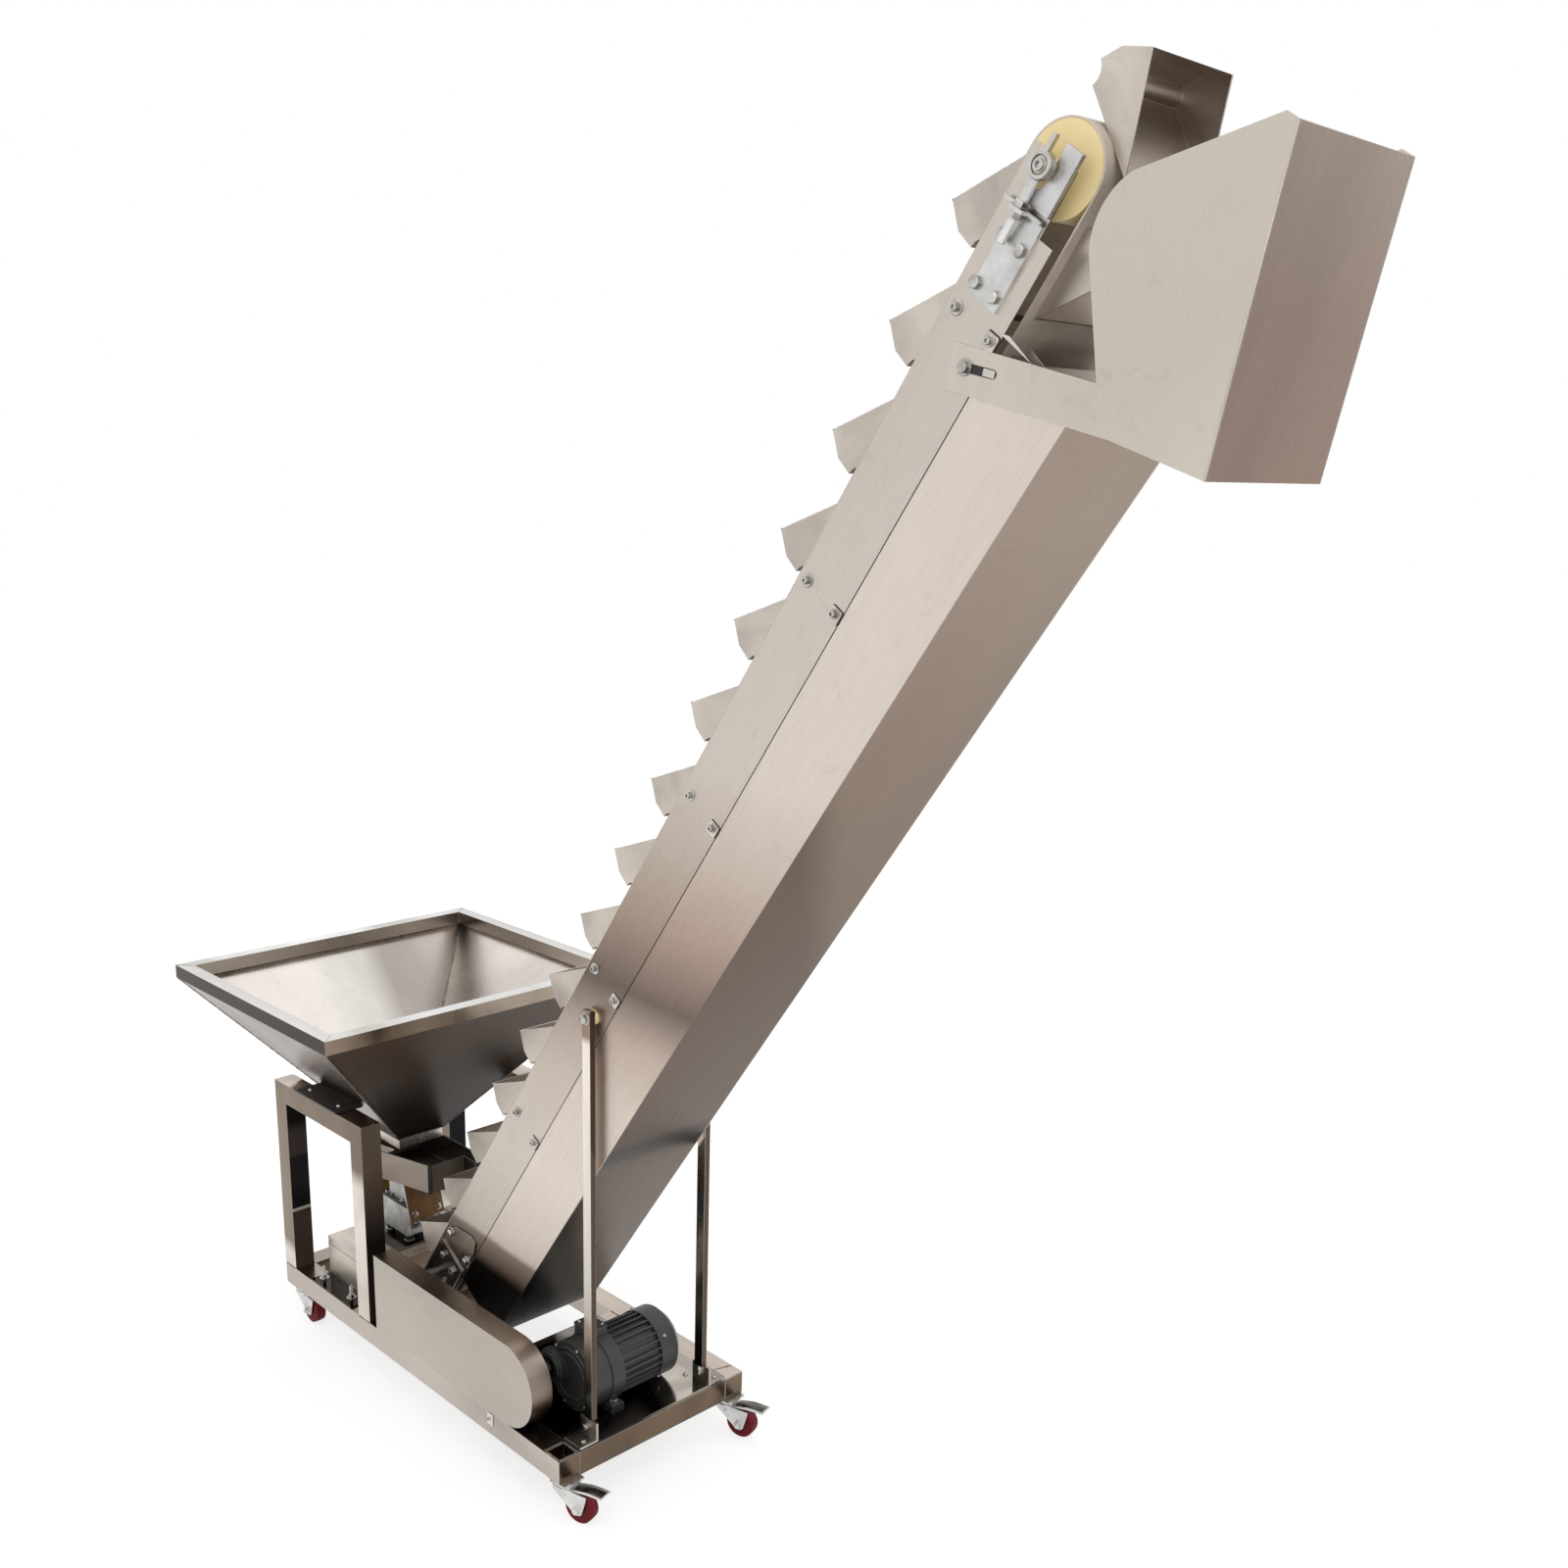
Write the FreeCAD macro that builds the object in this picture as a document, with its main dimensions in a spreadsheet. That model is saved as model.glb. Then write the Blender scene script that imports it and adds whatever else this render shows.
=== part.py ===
"""Mobile inclined bucket elevator with a vibrating feed hopper, built in millimetres.

X runs along the base from the hopper end to the discharge end, Y across it and Z up.
The frame called incline has its X up the slope and its Z square to the belt, outwards.
"""
import FreeCAD, Part

import math
import os
from types import SimpleNamespace

import Sketcher
from FreeCAD import Placement, Rotation, Vector

SIZES = [
    ("base_length", 848, "outer length of the wheeled base"),
    ("base_width", 388, "outer width of the wheeled base"),
    ("base_tube", 40, "square tube of the base"),
    ("tube_wall", 2, "wall of the square tubes"),
    ("base_height", 65, "floor to the underside of the base tubes"),
    ("feeder_tube_place", 95, "hopper end of the base to the tube under the feeder"),
    ("middle_tube_place", 280, "hopper end of the base to the tube under the casing"),
    ("motor_tube_place", 548, "hopper end of the base to the tube under the motor"),
    ("motor_plate_length", 298, "plate under the motor, along the base"),
    ("floor_plate", 3, "thickness of the plates on the base"),
    ("stand_length", 302, "hopper stand, along the base"),
    ("stand_tube", 38, "square tube of the hopper stand"),
    ("stand_top", 478, "floor to the top of the hopper stand"),
    ("pad_length", 144, "plate between stand and hopper, along the base"),
    ("pad_thickness", 3, "plate between stand and hopper"),
    ("hopper_place", 141.5, "hopper end of the base to the middle of the hopper"),
    ("hopper_length", 533, "hopper rim, along the base"),
    ("hopper_width", 620, "hopper rim, across the base"),
    ("hopper_top", 691, "floor to the top of the rim"),
    ("rim_width", 25, "rim tube, across its run"),
    ("rim_height", 24, "rim tube, upright"),
    ("hopper_wall", 3, "hopper wall, measured level"),
    ("outlet_length", 80, "hopper outlet, along the base"),
    ("outlet_width", 94, "hopper outlet, across the base"),
    ("outlet_height", 374, "floor to the end of the hopper's slope"),
    ("collar_height", 18, "upright collar under the slope"),
    ("tray_front", 262, "hopper end of the base to the front of the tray"),
    ("tray_bend", 147, "hopper end of the base to where the tray's near side turns in"),
    ("tray_back", 70, "hopper end of the base to the back of the tray"),
    ("tray_width", 131, "vibrating tray under the hopper, across the base"),
    ("tray_corner", 34, "middle of the base to the tray's near front corner"),
    ("spout_start", 38, "middle of the base to the near side of the tray's spout"),
    ("spout_end", 300, "hopper end of the base to the end of the tray's spout"),
    ("tray_top", 345, "floor to the top of the tray"),
    ("tray_height", 54, "side of the vibrating tray"),
    ("tray_wall", 2, "sheet of the vibrating tray"),
    ("table_top", 160, "floor to the top of the feeder's table"),
    ("table_thickness", 6, "feeder's table"),
    ("table_width", 176, "feeder's table, across the base"),
    ("pedestal_width", 120, "pedestal of the table, across the base"),
    ("table_start", 60, "hopper end of the base to the table"),
    ("table_length", 130, "feeder's table, along the base"),
    ("vibrator_start", 92, "hopper end of the base to the vibrator block"),
    ("vibrator_length", 84, "vibrator block, along the base"),
    ("vibrator_width", 68, "vibrator block, across the base"),
    ("vibrator_height", 58, "vibrator block, upright"),
    ("foot_height", 12, "rubber feet under the vibrator block"),
    ("foot_radius", 8, "rubber feet under the vibrator block"),
    ("spring_thickness", 3, "leaf springs of the feeder"),
    ("spring_lean", 16, "lean of the leaf springs, in degrees"),
    ("armature_length", 57, "magnet block under the tray, along the base"),
    ("armature_height", 52, "magnet block under the tray, upright"),
    ("control_length", 124, "control box, along the base"),
    ("control_width", 62, "control box, across the base"),
    ("control_height", 76, "control box, upright"),
    ("control_start", 94, "hopper end of the base to the control box"),
    ("guard_gap", 22, "hopper stand to the chain guard"),
    ("guard_depth", 40, "chain guard, across the base"),
    ("guard_height", 142, "chain guard, upright"),
    ("guard_sheet", 1.5, "sheet of the chain guard"),
    ("motor_place", 710, "hopper end of the base to the motor's output shaft"),
    ("motor_shaft_height", 172, "floor to the motor's output shaft"),
    ("motor_shaft_radius", 11, "output shaft of the motor"),
    ("motor_offset", 40, "output shaft to the middle of the motor, along the base"),
    ("motor_height", 168, "floor to the middle of the motor"),
    ("gearbox_radius", 58, "gearbox"),
    ("gearbox_length", 40, "gearbox, across the base"),
    ("motor_front", 100, "near side of the base to the face of the gearbox"),
    ("motor_foot_thickness", 25, "flange and foot of the motor, across the base"),
    ("motor_foot_length", 110, "foot of the motor, along the base"),
    ("motor_foot_height", 12, "foot of the motor, upright"),
    ("motor_radius", 57, "motor over its ribs"),
    ("motor_core", 51, "motor under its ribs"),
    ("rib_thickness", 3, "ribs of the motor"),
    ("rib_count", 28, "number of ribs round the motor"),
    ("motor_flange_radius", 60, "flange of the motor"),
    ("nose_radius", 30, "boss round the motor's output shaft"),
    ("nose_length", 10, "boss round the motor's output shaft"),
    ("cover_slant", 12, "slanting edge of the fan cover"),
    ("terminal_start", 722, "hopper end of the base to the terminal box"),
    ("terminal_length", 42, "terminal box, along the base"),
    ("terminal_near", 130, "near side of the base to the terminal box"),
    ("terminal_width", 33, "terminal box, across the base"),
    ("terminal_top", 240, "floor to the top of the terminal box"),
    ("shaft_seat", 12, "depth of the output shaft in the gearbox"),
    ("sprocket_depth", 16, "near side of the base to the sprockets"),
    ("sprocket_end", 6, "shafts beyond their sprockets"),
    ("motor_length", 80, "ribbed part of the motor, across the base"),
    ("fan_cover_length", 45, "fan cover of the motor, across the base"),
    ("motor_sprocket_radius", 34, "sprocket on the motor's shaft"),
    ("drive_sprocket_radius", 20, "sprocket on the lower pulley's shaft"),
    ("sprocket_thickness", 7, "both sprockets"),
    ("incline_angle", 55.147, "slope of the belt, in degrees"),
    ("incline_foot", 279.35, "hopper end of the base to the foot of the casing's upper edge"),
    ("casing_width", 212, "casing over its side plates"),
    ("casing_sheet", 2, "sheet of the casing"),
    ("side_depth", 81.4, "upper side plates, square to the slope"),
    ("channel_depth", 197.35, "upper edge of the casing to the underside of the channel"),
    ("channel_inset", 1, "side plates to the sides of the channel, across the base"),
    ("neck_reach", 11, "head pulley to the end of the narrow necks"),
    ("neck_length", 67, "narrow necks, along the slope"),
    ("neck_depth", 62, "narrow necks, square to the slope"),
    ("channel_start", 207, "foot of the slope to the lower end of the channel"),
    ("channel_below", 213, "upper end of the channel at the seam to the head pulley"),
    ("channel_lean", 42, "how much further up the channel's underside ends"),
    ("pulley_depth", 32, "upper edge of the casing to the line of the two pulleys"),
    ("pulley_span", 1978.95, "distance between the two pulleys"),
    ("drive_place", 160.05, "foot of the slope to the lower pulley"),
    ("belt_thickness", 2, "belt"),
    ("belt_width", 172, "belt"),
    ("belt_inner", 46, "inner radius of the belt round a pulley"),
    ("belt_gap", 0.3, "gap between the belt and its pulleys"),
    ("shaft_radius", 8, "shafts of the two pulleys"),
    ("shaft_play", 0.05, "radial play of a shaft in its bore"),
    ("bucket_pitch", 137.2, "distance between buckets along the belt"),
    ("bucket_below", 90.1, "lip of the first bucket going up to the head pulley"),
    ("bucket_width", 144, "bucket, across the belt"),
    ("bucket_back", 90, "back of a bucket from under its lip to its mouth"),
    ("bucket_reach", 66, "lip of a bucket from the belt"),
    ("bucket_sheet", 2, "sheet of a bucket"),
    ("bucket_fall", 26, "lip of a bucket down its front to where it turns"),
    ("bucket_toe", 20, "lip of a bucket to the turn of its front, along the belt"),
    ("bucket_heel", 8, "lip of a bucket to the end of its round bottom, along the belt"),
    ("bucket_round", 16, "round bottom of a bucket"),
    ("bucket_bolt", 50, "lip of a bucket to its bolts, along the belt"),
    ("slider_below", 36, "lower end of the take-up sliders to the head pulley"),
    ("slider_length", 63, "take-up sliders, along the slope"),
    ("slider_edge", 20, "upper edge of the casing to the take-up sliders"),
    ("slider_depth", 42, "take-up sliders, square to the slope"),
    ("slider_thickness", 6, "take-up sliders"),
    ("slot_start", 15, "lower end of a take-up slider to its slot"),
    ("takeup_below", 136, "lower end of the take-up plates to the head pulley"),
    ("takeup_length", 91, "take-up plates, along the slope"),
    ("takeup_depth", 41, "take-up plates, square to the slope"),
    ("takeup_edge", 20, "upper edge of the casing to the take-up plates"),
    ("takeup_thickness", 4, "take-up plates and their flanges"),
    ("flange_reach", 27, "take-up screw to the edge of its flange"),
    ("flange_lobe", 10, "round end of the flange of a take-up screw"),
    ("screw_offset", 13, "casing to the take-up screws, across the base"),
    ("screw_radius", 4.5, "take-up screws"),
    ("screw_below", 77, "lower end of the take-up screws to the head pulley"),
    ("eye_radius", 13, "eyes of the take-up screws"),
    ("eye_width", 8, "eyes of the take-up screws"),
    ("bearing_below", 38.45, "lower bearing plates from their lower corner to the shaft"),
    ("bearing_above", 67.95, "lower pulley's shaft to the upper end of its bearing plates"),
    ("bearing_slant", 28.4, "lower bearing plates, slant of their lower end"),
    ("bearing_edge", 7, "upper edge of the casing to the lower bearing plates"),
    ("bearing_depth", 71, "lower bearing plates, square to the slope"),
    ("bearing_thickness", 6, "lower bearing plates"),
    ("bracket_thickness", 3, "brackets above the lower bearing plates"),
    ("tie_radius", 7, "hexagonal rods between the casing's side plates, over their corners"),
    ("tie_depth", 13.8, "upper edge of the casing to the rods"),
    ("tie_below", 156.65, "highest rod to the head pulley"),
    ("tie_last", 255.35, "foot of the slope to the lowest rod"),
    ("tie_count", 6, "number of rods"),
    ("post_place", 828, "hopper end of the base to the middle of the posts"),
    ("post_length", 18, "posts, along the base"),
    ("post_depth", 10, "posts, across the base"),
    ("post_top", 812, "floor to the top of the posts"),
    ("post_bolt", 799.5, "floor to the bolt of the posts"),
    ("post_start", 140, "floor to the lower end of the posts"),
    ("foot_length", 40, "brackets under the posts, along the base"),
    ("foot_reach", 32, "brackets under the posts beyond the posts, across the base"),
    ("foot_sheet", 4, "brackets under the posts"),
    ("foot_hole", 6, "hole in the brackets under the posts"),
    ("foot_hole_height", 20, "base to the hole in the brackets under the posts"),
    ("spacer_radius", 11.5, "spacers between posts and casing"),
    ("spacer_length", 5, "spacers between posts and casing"),
    ("hood_width", 220, "discharge hood"),
    ("hood_sheet", 2, "sheet of the discharge hood"),
    ("hood_nose", 252.6, "head pulley to the front corner of the hood, along the base"),
    ("hood_nose_rise", 7.4, "head pulley up to the front corner of the hood"),
    ("hood_ridge", 240.2, "head pulley to the highest corner of the hood, along the base"),
    ("hood_ridge_rise", 15.4, "head pulley up to the highest corner of the hood"),
    ("hood_shoulder", 94.7, "head pulley to the end of the hood's round edge, along the base"),
    ("hood_shoulder_drop", 14.1, "head pulley down to the end of the hood's round edge"),
    ("hood_round", 69.4, "round edge of the hood"),
    ("hood_cheek", 53, "head pulley to the hood's rearmost corner, along the base"),
    ("hood_cheek_drop", 79, "head pulley down to the hood's rearmost corner"),
    ("hood_toe", 198, "head pulley to the hood's lowest corner, along the base"),
    ("hood_toe_drop", 286.1, "head pulley down to the hood's lowest corner"),
    ("hood_heel", 78.3, "head pulley to the foot of the hood's back, along the base"),
    ("hood_heel_drop", 244.6, "head pulley down to the foot of the hood's back"),
    ("hood_rear", 72.7, "head pulley to the top of the hood's back, along the base"),
    ("hood_rear_drop", 195.5, "head pulley down to the top of the hood's back"),
    ("arm_high", 183, "upper corner of the hood's arms to the head pulley, along the slope"),
    ("arm_high_depth", 34, "upper edge of the casing to the upper corner of the hood's arms"),
    ("arm_low", 227, "lower corner of the hood's arms to the head pulley, along the slope"),
    ("arm_low_depth", 50, "upper edge of the casing to the lower corner of the hood's arms"),
    ("arm_end", 112, "far upper corner of the hood's arms to the head pulley, along the slope"),
    ("arm_end_depth", 227, "upper edge of the casing to the far upper corner of the arms"),
    ("arm_tip", 149, "far lower corner of the hood's arms to the head pulley, along the slope"),
    ("arm_tip_depth", 259, "upper edge of the casing to the far lower corner of the arms"),
    ("wheel_radius", 25, "caster wheels"),
    ("wheel_width", 18, "caster wheels"),
    ("caster_trail", 30, "swivel axis of a caster to its wheel's axle"),
    ("caster_inset", 22, "side of the base to the swivel axis of a caster"),
    ("caster_front", 11, "discharge end of the base to the swivel axis of a caster"),
    ("caster_rear", 30, "hopper end of the base to the swivel axis of a caster"),
    ("caster_turn", 15, "turn of the discharge end's casters, in degrees"),
    ("caster_plate", 20, "half of a caster's square plate"),
    ("crown_gap", 11, "underside of the base to the top of a caster's fork"),
    ("pedal_end", 75, "swivel axis of a caster to the end of its pedal"),
    ("pedal_rise", 6, "rise of a caster's pedal"),
    ("fork_sheet", 2, "sheet of the caster forks"),
    ("fork_gap", 2, "wheel to the legs of its fork"),
    ("axle_radius", 4, "axles of the casters"),
]

doc = FreeCAD.newDocument("BucketElevator")
sheet = doc.addObject("Spreadsheet::Sheet", "dims")
for line, (alias, number, meaning) in enumerate(SIZES, start=1):
    sheet.set(f"A{line}", meaning)
    sheet.set(f"B{line}", str(number))
    sheet.setAlias(f"B{line}", alias)
doc.recompute()


class Size:
    """A size as the expression that drives it and as the number that it comes to."""

    def __init__(self, text, value):
        self.text = text
        self.value = value

    def combine(self, sign, other, value):
        return Size(f"({self.text} {sign} {as_size(other).text})", value)

    def __add__(self, other):
        return self.combine("+", other, self.value + as_size(other).value)

    def __sub__(self, other):
        return self.combine("-", other, self.value - as_size(other).value)

    def __mul__(self, other):
        return self.combine("*", other, self.value * as_size(other).value)

    def __truediv__(self, other):
        return self.combine("/", other, self.value / as_size(other).value)

    def __radd__(self, other):
        return as_size(other) + self

    def __rsub__(self, other):
        return as_size(other) - self

    def __rmul__(self, other):
        return as_size(other) * self

    def __neg__(self):
        return as_size(0) - self


def as_size(number):
    return number if isinstance(number, Size) else Size(repr(float(number)), float(number))


def cosine(angle):
    return Size(f"cos({angle.text})", math.cos(math.radians(angle.value)))


def sine(angle):
    return Size(f"sin({angle.text})", math.sin(math.radians(angle.value)))


def tangent(angle):
    return Size(f"tan({angle.text})", math.tan(math.radians(angle.value)))


d = SimpleNamespace(**{alias: Size(f"dims.{alias}", float(sheet.get(alias))) for alias, _, _ in SIZES})
sub_parts = {}


def bind(item, path, size):
    """Drives one property of an object from the sheet."""
    item.setExpression(path, as_size(size).text)


def move(item, x, y, z):
    for path, size in (("Placement.Base.x", x), ("Placement.Base.y", y), ("Placement.Base.z", z)):
        bind(item, path, size)


def box(name, x, y, z):
    """A block between a low and a high value on each axis."""
    item = doc.addObject("Part::Box", name)
    for path, (low, high) in (("Length", x), ("Width", y), ("Height", z)):
        bind(item, path, as_size(high) - low)
    move(item, x[0], y[0], z[0])
    return item


TURNS = {
    "x": Rotation(Vector(0, 1, 0), 90),
    "y": Rotation(Vector(1, 0, 0), -90),
    "z": Rotation(),
}


def rod(name, axis, x, y, z, length, radius):
    """A cylinder that starts at a point and runs along one axis."""
    item = doc.addObject("Part::Cylinder", name)
    item.Placement = Placement(Vector(), TURNS[axis])
    bind(item, "Height", length)
    bind(item, "Radius", radius)
    move(item, x, y, z)
    return item


def many_sided(name, axis, x, y, z, length, radius, sides):
    """A prism that starts at a point and runs along one axis."""
    item = doc.addObject("Part::Prism", name)
    item.Polygon = sides
    item.Placement = Placement(Vector(), TURNS[axis])
    bind(item, "Height", length)
    bind(item, "Circumradius", radius)
    move(item, x, y, z)
    return item


def cut(name, base, *tools):
    item = doc.addObject("Part::Cut", name)
    item.Base = base
    item.Tool = tools[0] if len(tools) == 1 else join(f"{name}_tools", *tools)
    return item


def join(name, *pieces):
    item = doc.addObject("Part::MultiFuse", name)
    item.Shapes = list(pieces)
    item.Refine = True
    return item


def group(name, *pieces):
    """Pieces that share a node and don't touch each other."""
    item = doc.addObject("Part::Compound", name)
    item.Links = list(pieces)
    return item


def outline(body, name, points, offset, role="XZ_Plane"):
    """A closed sketch on a plane of the body. A point may carry the radius of the arc that ends there."""
    sketch = body.newObject("Sketcher::SketchObject", name)
    plane = next(item for item in body.Origin.OriginFeatures if item.Role == role)
    sketch.AttachmentSupport = [(plane, "")]
    sketch.MapMode = "FlatFace"
    bind(sketch, "AttachmentOffset.Base.z", -as_size(offset) if role == "XZ_Plane" else offset)
    places = [(as_size(point[0]), as_size(point[1])) for point in points]
    radii = [point[2] if len(point) > 2 else None for point in points]
    last = len(points) - 1
    for index, radius in enumerate(radii):
        start, end = places[index - 1], places[index]
        first = Vector(start[0].value, start[1].value, 0)
        second = Vector(end[0].value, end[1].value, 0)
        if radius is None:
            sketch.addGeometry(Part.LineSegment(first, second), False)
        else:
            sketch.addGeometry(arc_between(first, second, as_size(radius).value), False)
    for index in range(len(points)):
        following = 0 if index == last else index + 1
        joined = (*end_of(radii, index), *start_of(radii, following))
        sketch.addConstraint(Sketcher.Constraint("Coincident", *joined))
        edge, vertex = end_of(radii, index)
        for kind, size in (("DistanceX", places[index][0]), ("DistanceY", places[index][1])):
            number = sketch.addConstraint(Sketcher.Constraint(kind, -1, 1, edge, vertex, size.value))
            sketch.setExpression(f"Constraints[{number}]", size.text)
        if radii[index] is not None:
            size = as_size(radii[index])
            number = sketch.addConstraint(Sketcher.Constraint("Radius", index, abs(size.value)))
            sketch.setExpression(f"Constraints[{number}]", f"abs({size.text})")
    return sketch


def arc_between(first, second, radius):
    """A positive radius bulges to the right of the way from first to second, a negative one to the left."""
    middle = (first + second) / 2
    half = (second - first) / 2
    side = Vector(-half.y, half.x, 0).normalize()
    rise = math.sqrt(radius * radius - half.Length ** 2)
    centre = middle + side * math.copysign(rise, radius)
    bulge = centre - side * radius
    return Part.Arc(first, bulge, second)


def end_of(radii, index):
    """The sketch's name for the end of an edge. An arc always runs anticlockwise in a sketch."""
    return (index, 1) if radii[index] is not None and as_size(radii[index]).value < 0 else (index, 2)


def start_of(radii, index):
    return (index, 2) if radii[index] is not None and as_size(radii[index]).value < 0 else (index, 1)


def pad(body, name, sketch, length, backwards=True):
    item = body.newObject("PartDesign::Pad", name)
    item.Profile = sketch
    bind(item, "Length", length)
    item.Reversed = backwards
    return item


def pocket(body, name, sketch, length, backwards=True):
    item = body.newObject("PartDesign::Pocket", name)
    item.Profile = sketch
    bind(item, "Length", length)
    item.Reversed = backwards
    return item


def plate(name, points, low, high):
    """A body padded from an outline, between two values across the machine."""
    body = doc.addObject("PartDesign::Body", name)
    pad(body, f"{name}_pad", outline(body, f"{name}_outline", points, low), as_size(high) - low)
    return body


def turned(name, x, y, z, points):
    """A body turned round an axis across the machine, from points given as radius and way along it."""
    body = doc.addObject("PartDesign::Body", name)
    sketch = outline(body, f"{name}_outline", points, 0)
    spun = body.newObject("PartDesign::Revolution", f"{name}_turn")
    spun.Profile = sketch
    spun.ReferenceAxis = (sketch, ["V_Axis"])
    body.Placement = Placement(Vector(), TURNS["y"])
    move(body, x, y, z)
    return body


def copy_of(name, form, x, z, turn=None):
    """The same form again at another place of its frame, turned about Y by an angle in degrees."""
    item = doc.addObject("Part::Compound", name)
    item.Links = [form]
    if turn is not None:
        item.Placement = Placement(Vector(), Rotation(Vector(0, 1, 0), as_size(turn).value))
        bind(item, "Placement.Rotation.Angle", turn)
        bind(item, "Placement.Rotation.Axis.y", 1)
    move(item, x, 0, z)
    return item


base_top = d.base_height + d.base_tube
plate_top = base_top + d.floor_plate
half_width = d.base_width / 2
half_casing = d.casing_width / 2
control_near = d.stand_tube + 2 - half_width
head_place = d.drive_place + d.pulley_span
guard_start = d.stand_length + d.guard_gap
slope_cos = cosine(d.incline_angle)
slope_sin = sine(d.incline_angle)


def slope_x(up, down):
    """Place along the base of a point up the slope and square below its upper edge."""
    return d.incline_foot + up * slope_cos + down * slope_sin


def slope_z(up, down):
    return base_top + up * slope_sin - down * slope_cos


head_x = slope_x(head_place, d.pulley_depth)
head_z = slope_z(head_place, d.pulley_depth)
hopper_left = d.hopper_place - d.hopper_length / 2
hood_right = head_x + d.hood_nose
middle_x = (hopper_left + hood_right) / 2


def finish(label, item, frame="base"):
    """Names a sub-part and puts its own frame in place: the base, the incline or the head pulley."""
    item.Label = label
    sub_parts[label] = item
    if frame == "base":
        move(item, -middle_x, 0, 0)
    if frame == "head":
        move(item, head_x - middle_x, 0, head_z)
    if frame == "incline":
        item.Placement = Placement(Vector(), Rotation(Vector(0, 1, 0), -d.incline_angle.value))
        bind(item, "Placement.Rotation.Angle", d.incline_angle)
        bind(item, "Placement.Rotation.Axis.y", -1)
        move(item, d.incline_foot - middle_x, 0, base_top)
    return item


def tube(name, x, y, z, along):
    """A square tube that is open along one axis."""
    hollow = {"x": x, "y": y, "z": z}
    for axis in "xyz":
        low, high = hollow[axis]
        if axis != along:
            hollow[axis] = (low + d.tube_wall, high - d.tube_wall)
    return cut(f"{name}_tube", box(f"{name}_outer", x, y, z),
               box(f"{name}_inner", hollow["x"], hollow["y"], hollow["z"]))


def base_frame():
    height = (d.base_height, base_top)
    whole = (as_size(0), d.base_length)
    near = (-half_width, d.base_tube - half_width)
    far = (half_width - d.base_tube, half_width)
    between = (near[1], far[0])
    corner = d.base_length - d.base_tube
    rail = tube("rail_near", (as_size(0), corner), near, height, "x")
    stub = tube("rail_corner", (corner, d.base_length), near, height, "z")
    far_rail = tube("rail_far", whole, far, height, "x")
    finish("base_rails", group("rails", join("rail_near_whole", rail, stub), far_rail))
    starts = (as_size(0), d.feeder_tube_place, d.middle_tube_place, d.motor_tube_place,
              d.base_length - d.base_tube)
    cross = [tube(f"cross_{number}", (start, start + d.base_tube), between, height, "y")
             for number, start in enumerate(starts)]
    finish("base_cross_tubes", group("cross_tubes", *cross))
    plate_end = d.base_length - 2
    motor_plate = box("motor_plate_sheet", (plate_end - d.motor_plate_length, plate_end),
                      (43 - half_width, half_width - 70), (base_top, plate_top))
    stand_plate = box("stand_plate_sheet", (d.control_start, d.control_start + 140),
                      (-half_width, control_near + d.control_width), (base_top, plate_top))
    finish("floor_plates", group("plates", motor_plate, stand_plate))


def hopper_stand():
    stands = []
    for side, sign in (("near", -1), ("far", 1)):
        outer = sign * half_width
        inner = sign * (half_width - d.stand_tube)
        across = (outer, inner) if sign < 0 else (inner, outer)
        whole = box(f"stand_{side}_outer", (as_size(0), d.stand_length), across, (base_top, d.stand_top))
        window = box(f"stand_{side}_window", (d.stand_tube, d.stand_length - d.stand_tube),
                     (across[0] - 1, across[1] + 1), (base_top - 1, d.stand_top - d.stand_tube))
        stands.append(cut(f"stand_{side}", whole, window))
    finish("hopper_stands", group("stands", *stands))
    first = d.hopper_place + 8.5 - d.pad_length / 2
    pads = []
    for side, sign in (("near", -1), ("far", 1)):
        outer = sign * (half_width + 2)
        inner = sign * wall_place(d.stand_top + d.pad_thickness)
        across = (outer, inner) if sign < 0 else (inner, outer)
        pads.append(box(f"pad_{side}", (first, first + d.pad_length), across,
                        (d.stand_top, d.stand_top + d.pad_thickness)))
    finish("stand_pads", group("pads", *pads))


wall_top = d.hopper_top - d.rim_height
wall_slope = (d.hopper_width / 2 - 1 - d.outlet_width / 2) / (wall_top - d.outlet_height)


def wall_place(height):
    """How far the outside of the hopper's side walls lies from the middle at a height."""
    return d.outlet_width / 2 + wall_slope * (height - d.outlet_height)


def mitred_wall(name, turn, top, bottom):
    """One sloping wall of the hopper with mitred ends, towards +X or, turned, another side."""
    wall = d.hopper_wall.value
    high = wall_top.value
    low = d.outlet_height.value
    corners = {}
    for level, (reach, half), height in (("top", top, high), ("bottom", bottom, low)):
        for skin, inset in (("outer", 0), ("inner", wall)):
            for end in (-1, 1):
                corners[level, skin, end] = Vector(reach.value - inset, end * (half.value - inset), height)
    faces = []
    for skin in ("outer", "inner"):
        faces.append([("top", skin, -1), ("top", skin, 1), ("bottom", skin, 1), ("bottom", skin, -1)])
    for level in ("top", "bottom"):
        faces.append([(level, "outer", -1), (level, "outer", 1), (level, "inner", 1), (level, "inner", -1)])
    for end in (-1, 1):
        faces.append([("top", "outer", end), ("top", "inner", end),
                      ("bottom", "inner", end), ("bottom", "outer", end)])
    sides = []
    for face in faces:
        loop = [corners[key] for key in face]
        sides.append(Part.Face(Part.makePolygon(loop + loop[:1])))
    solid = Part.makeSolid(Part.makeShell(sides))
    if solid.Volume < 0:
        solid.reverse()
    item = doc.addObject("Part::Feature", name)
    item.Shape = solid
    item.Placement = Placement(Vector(), Rotation(Vector(0, 0, 1), turn))
    move(item, d.hopper_place, 0, 0)
    return item


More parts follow.
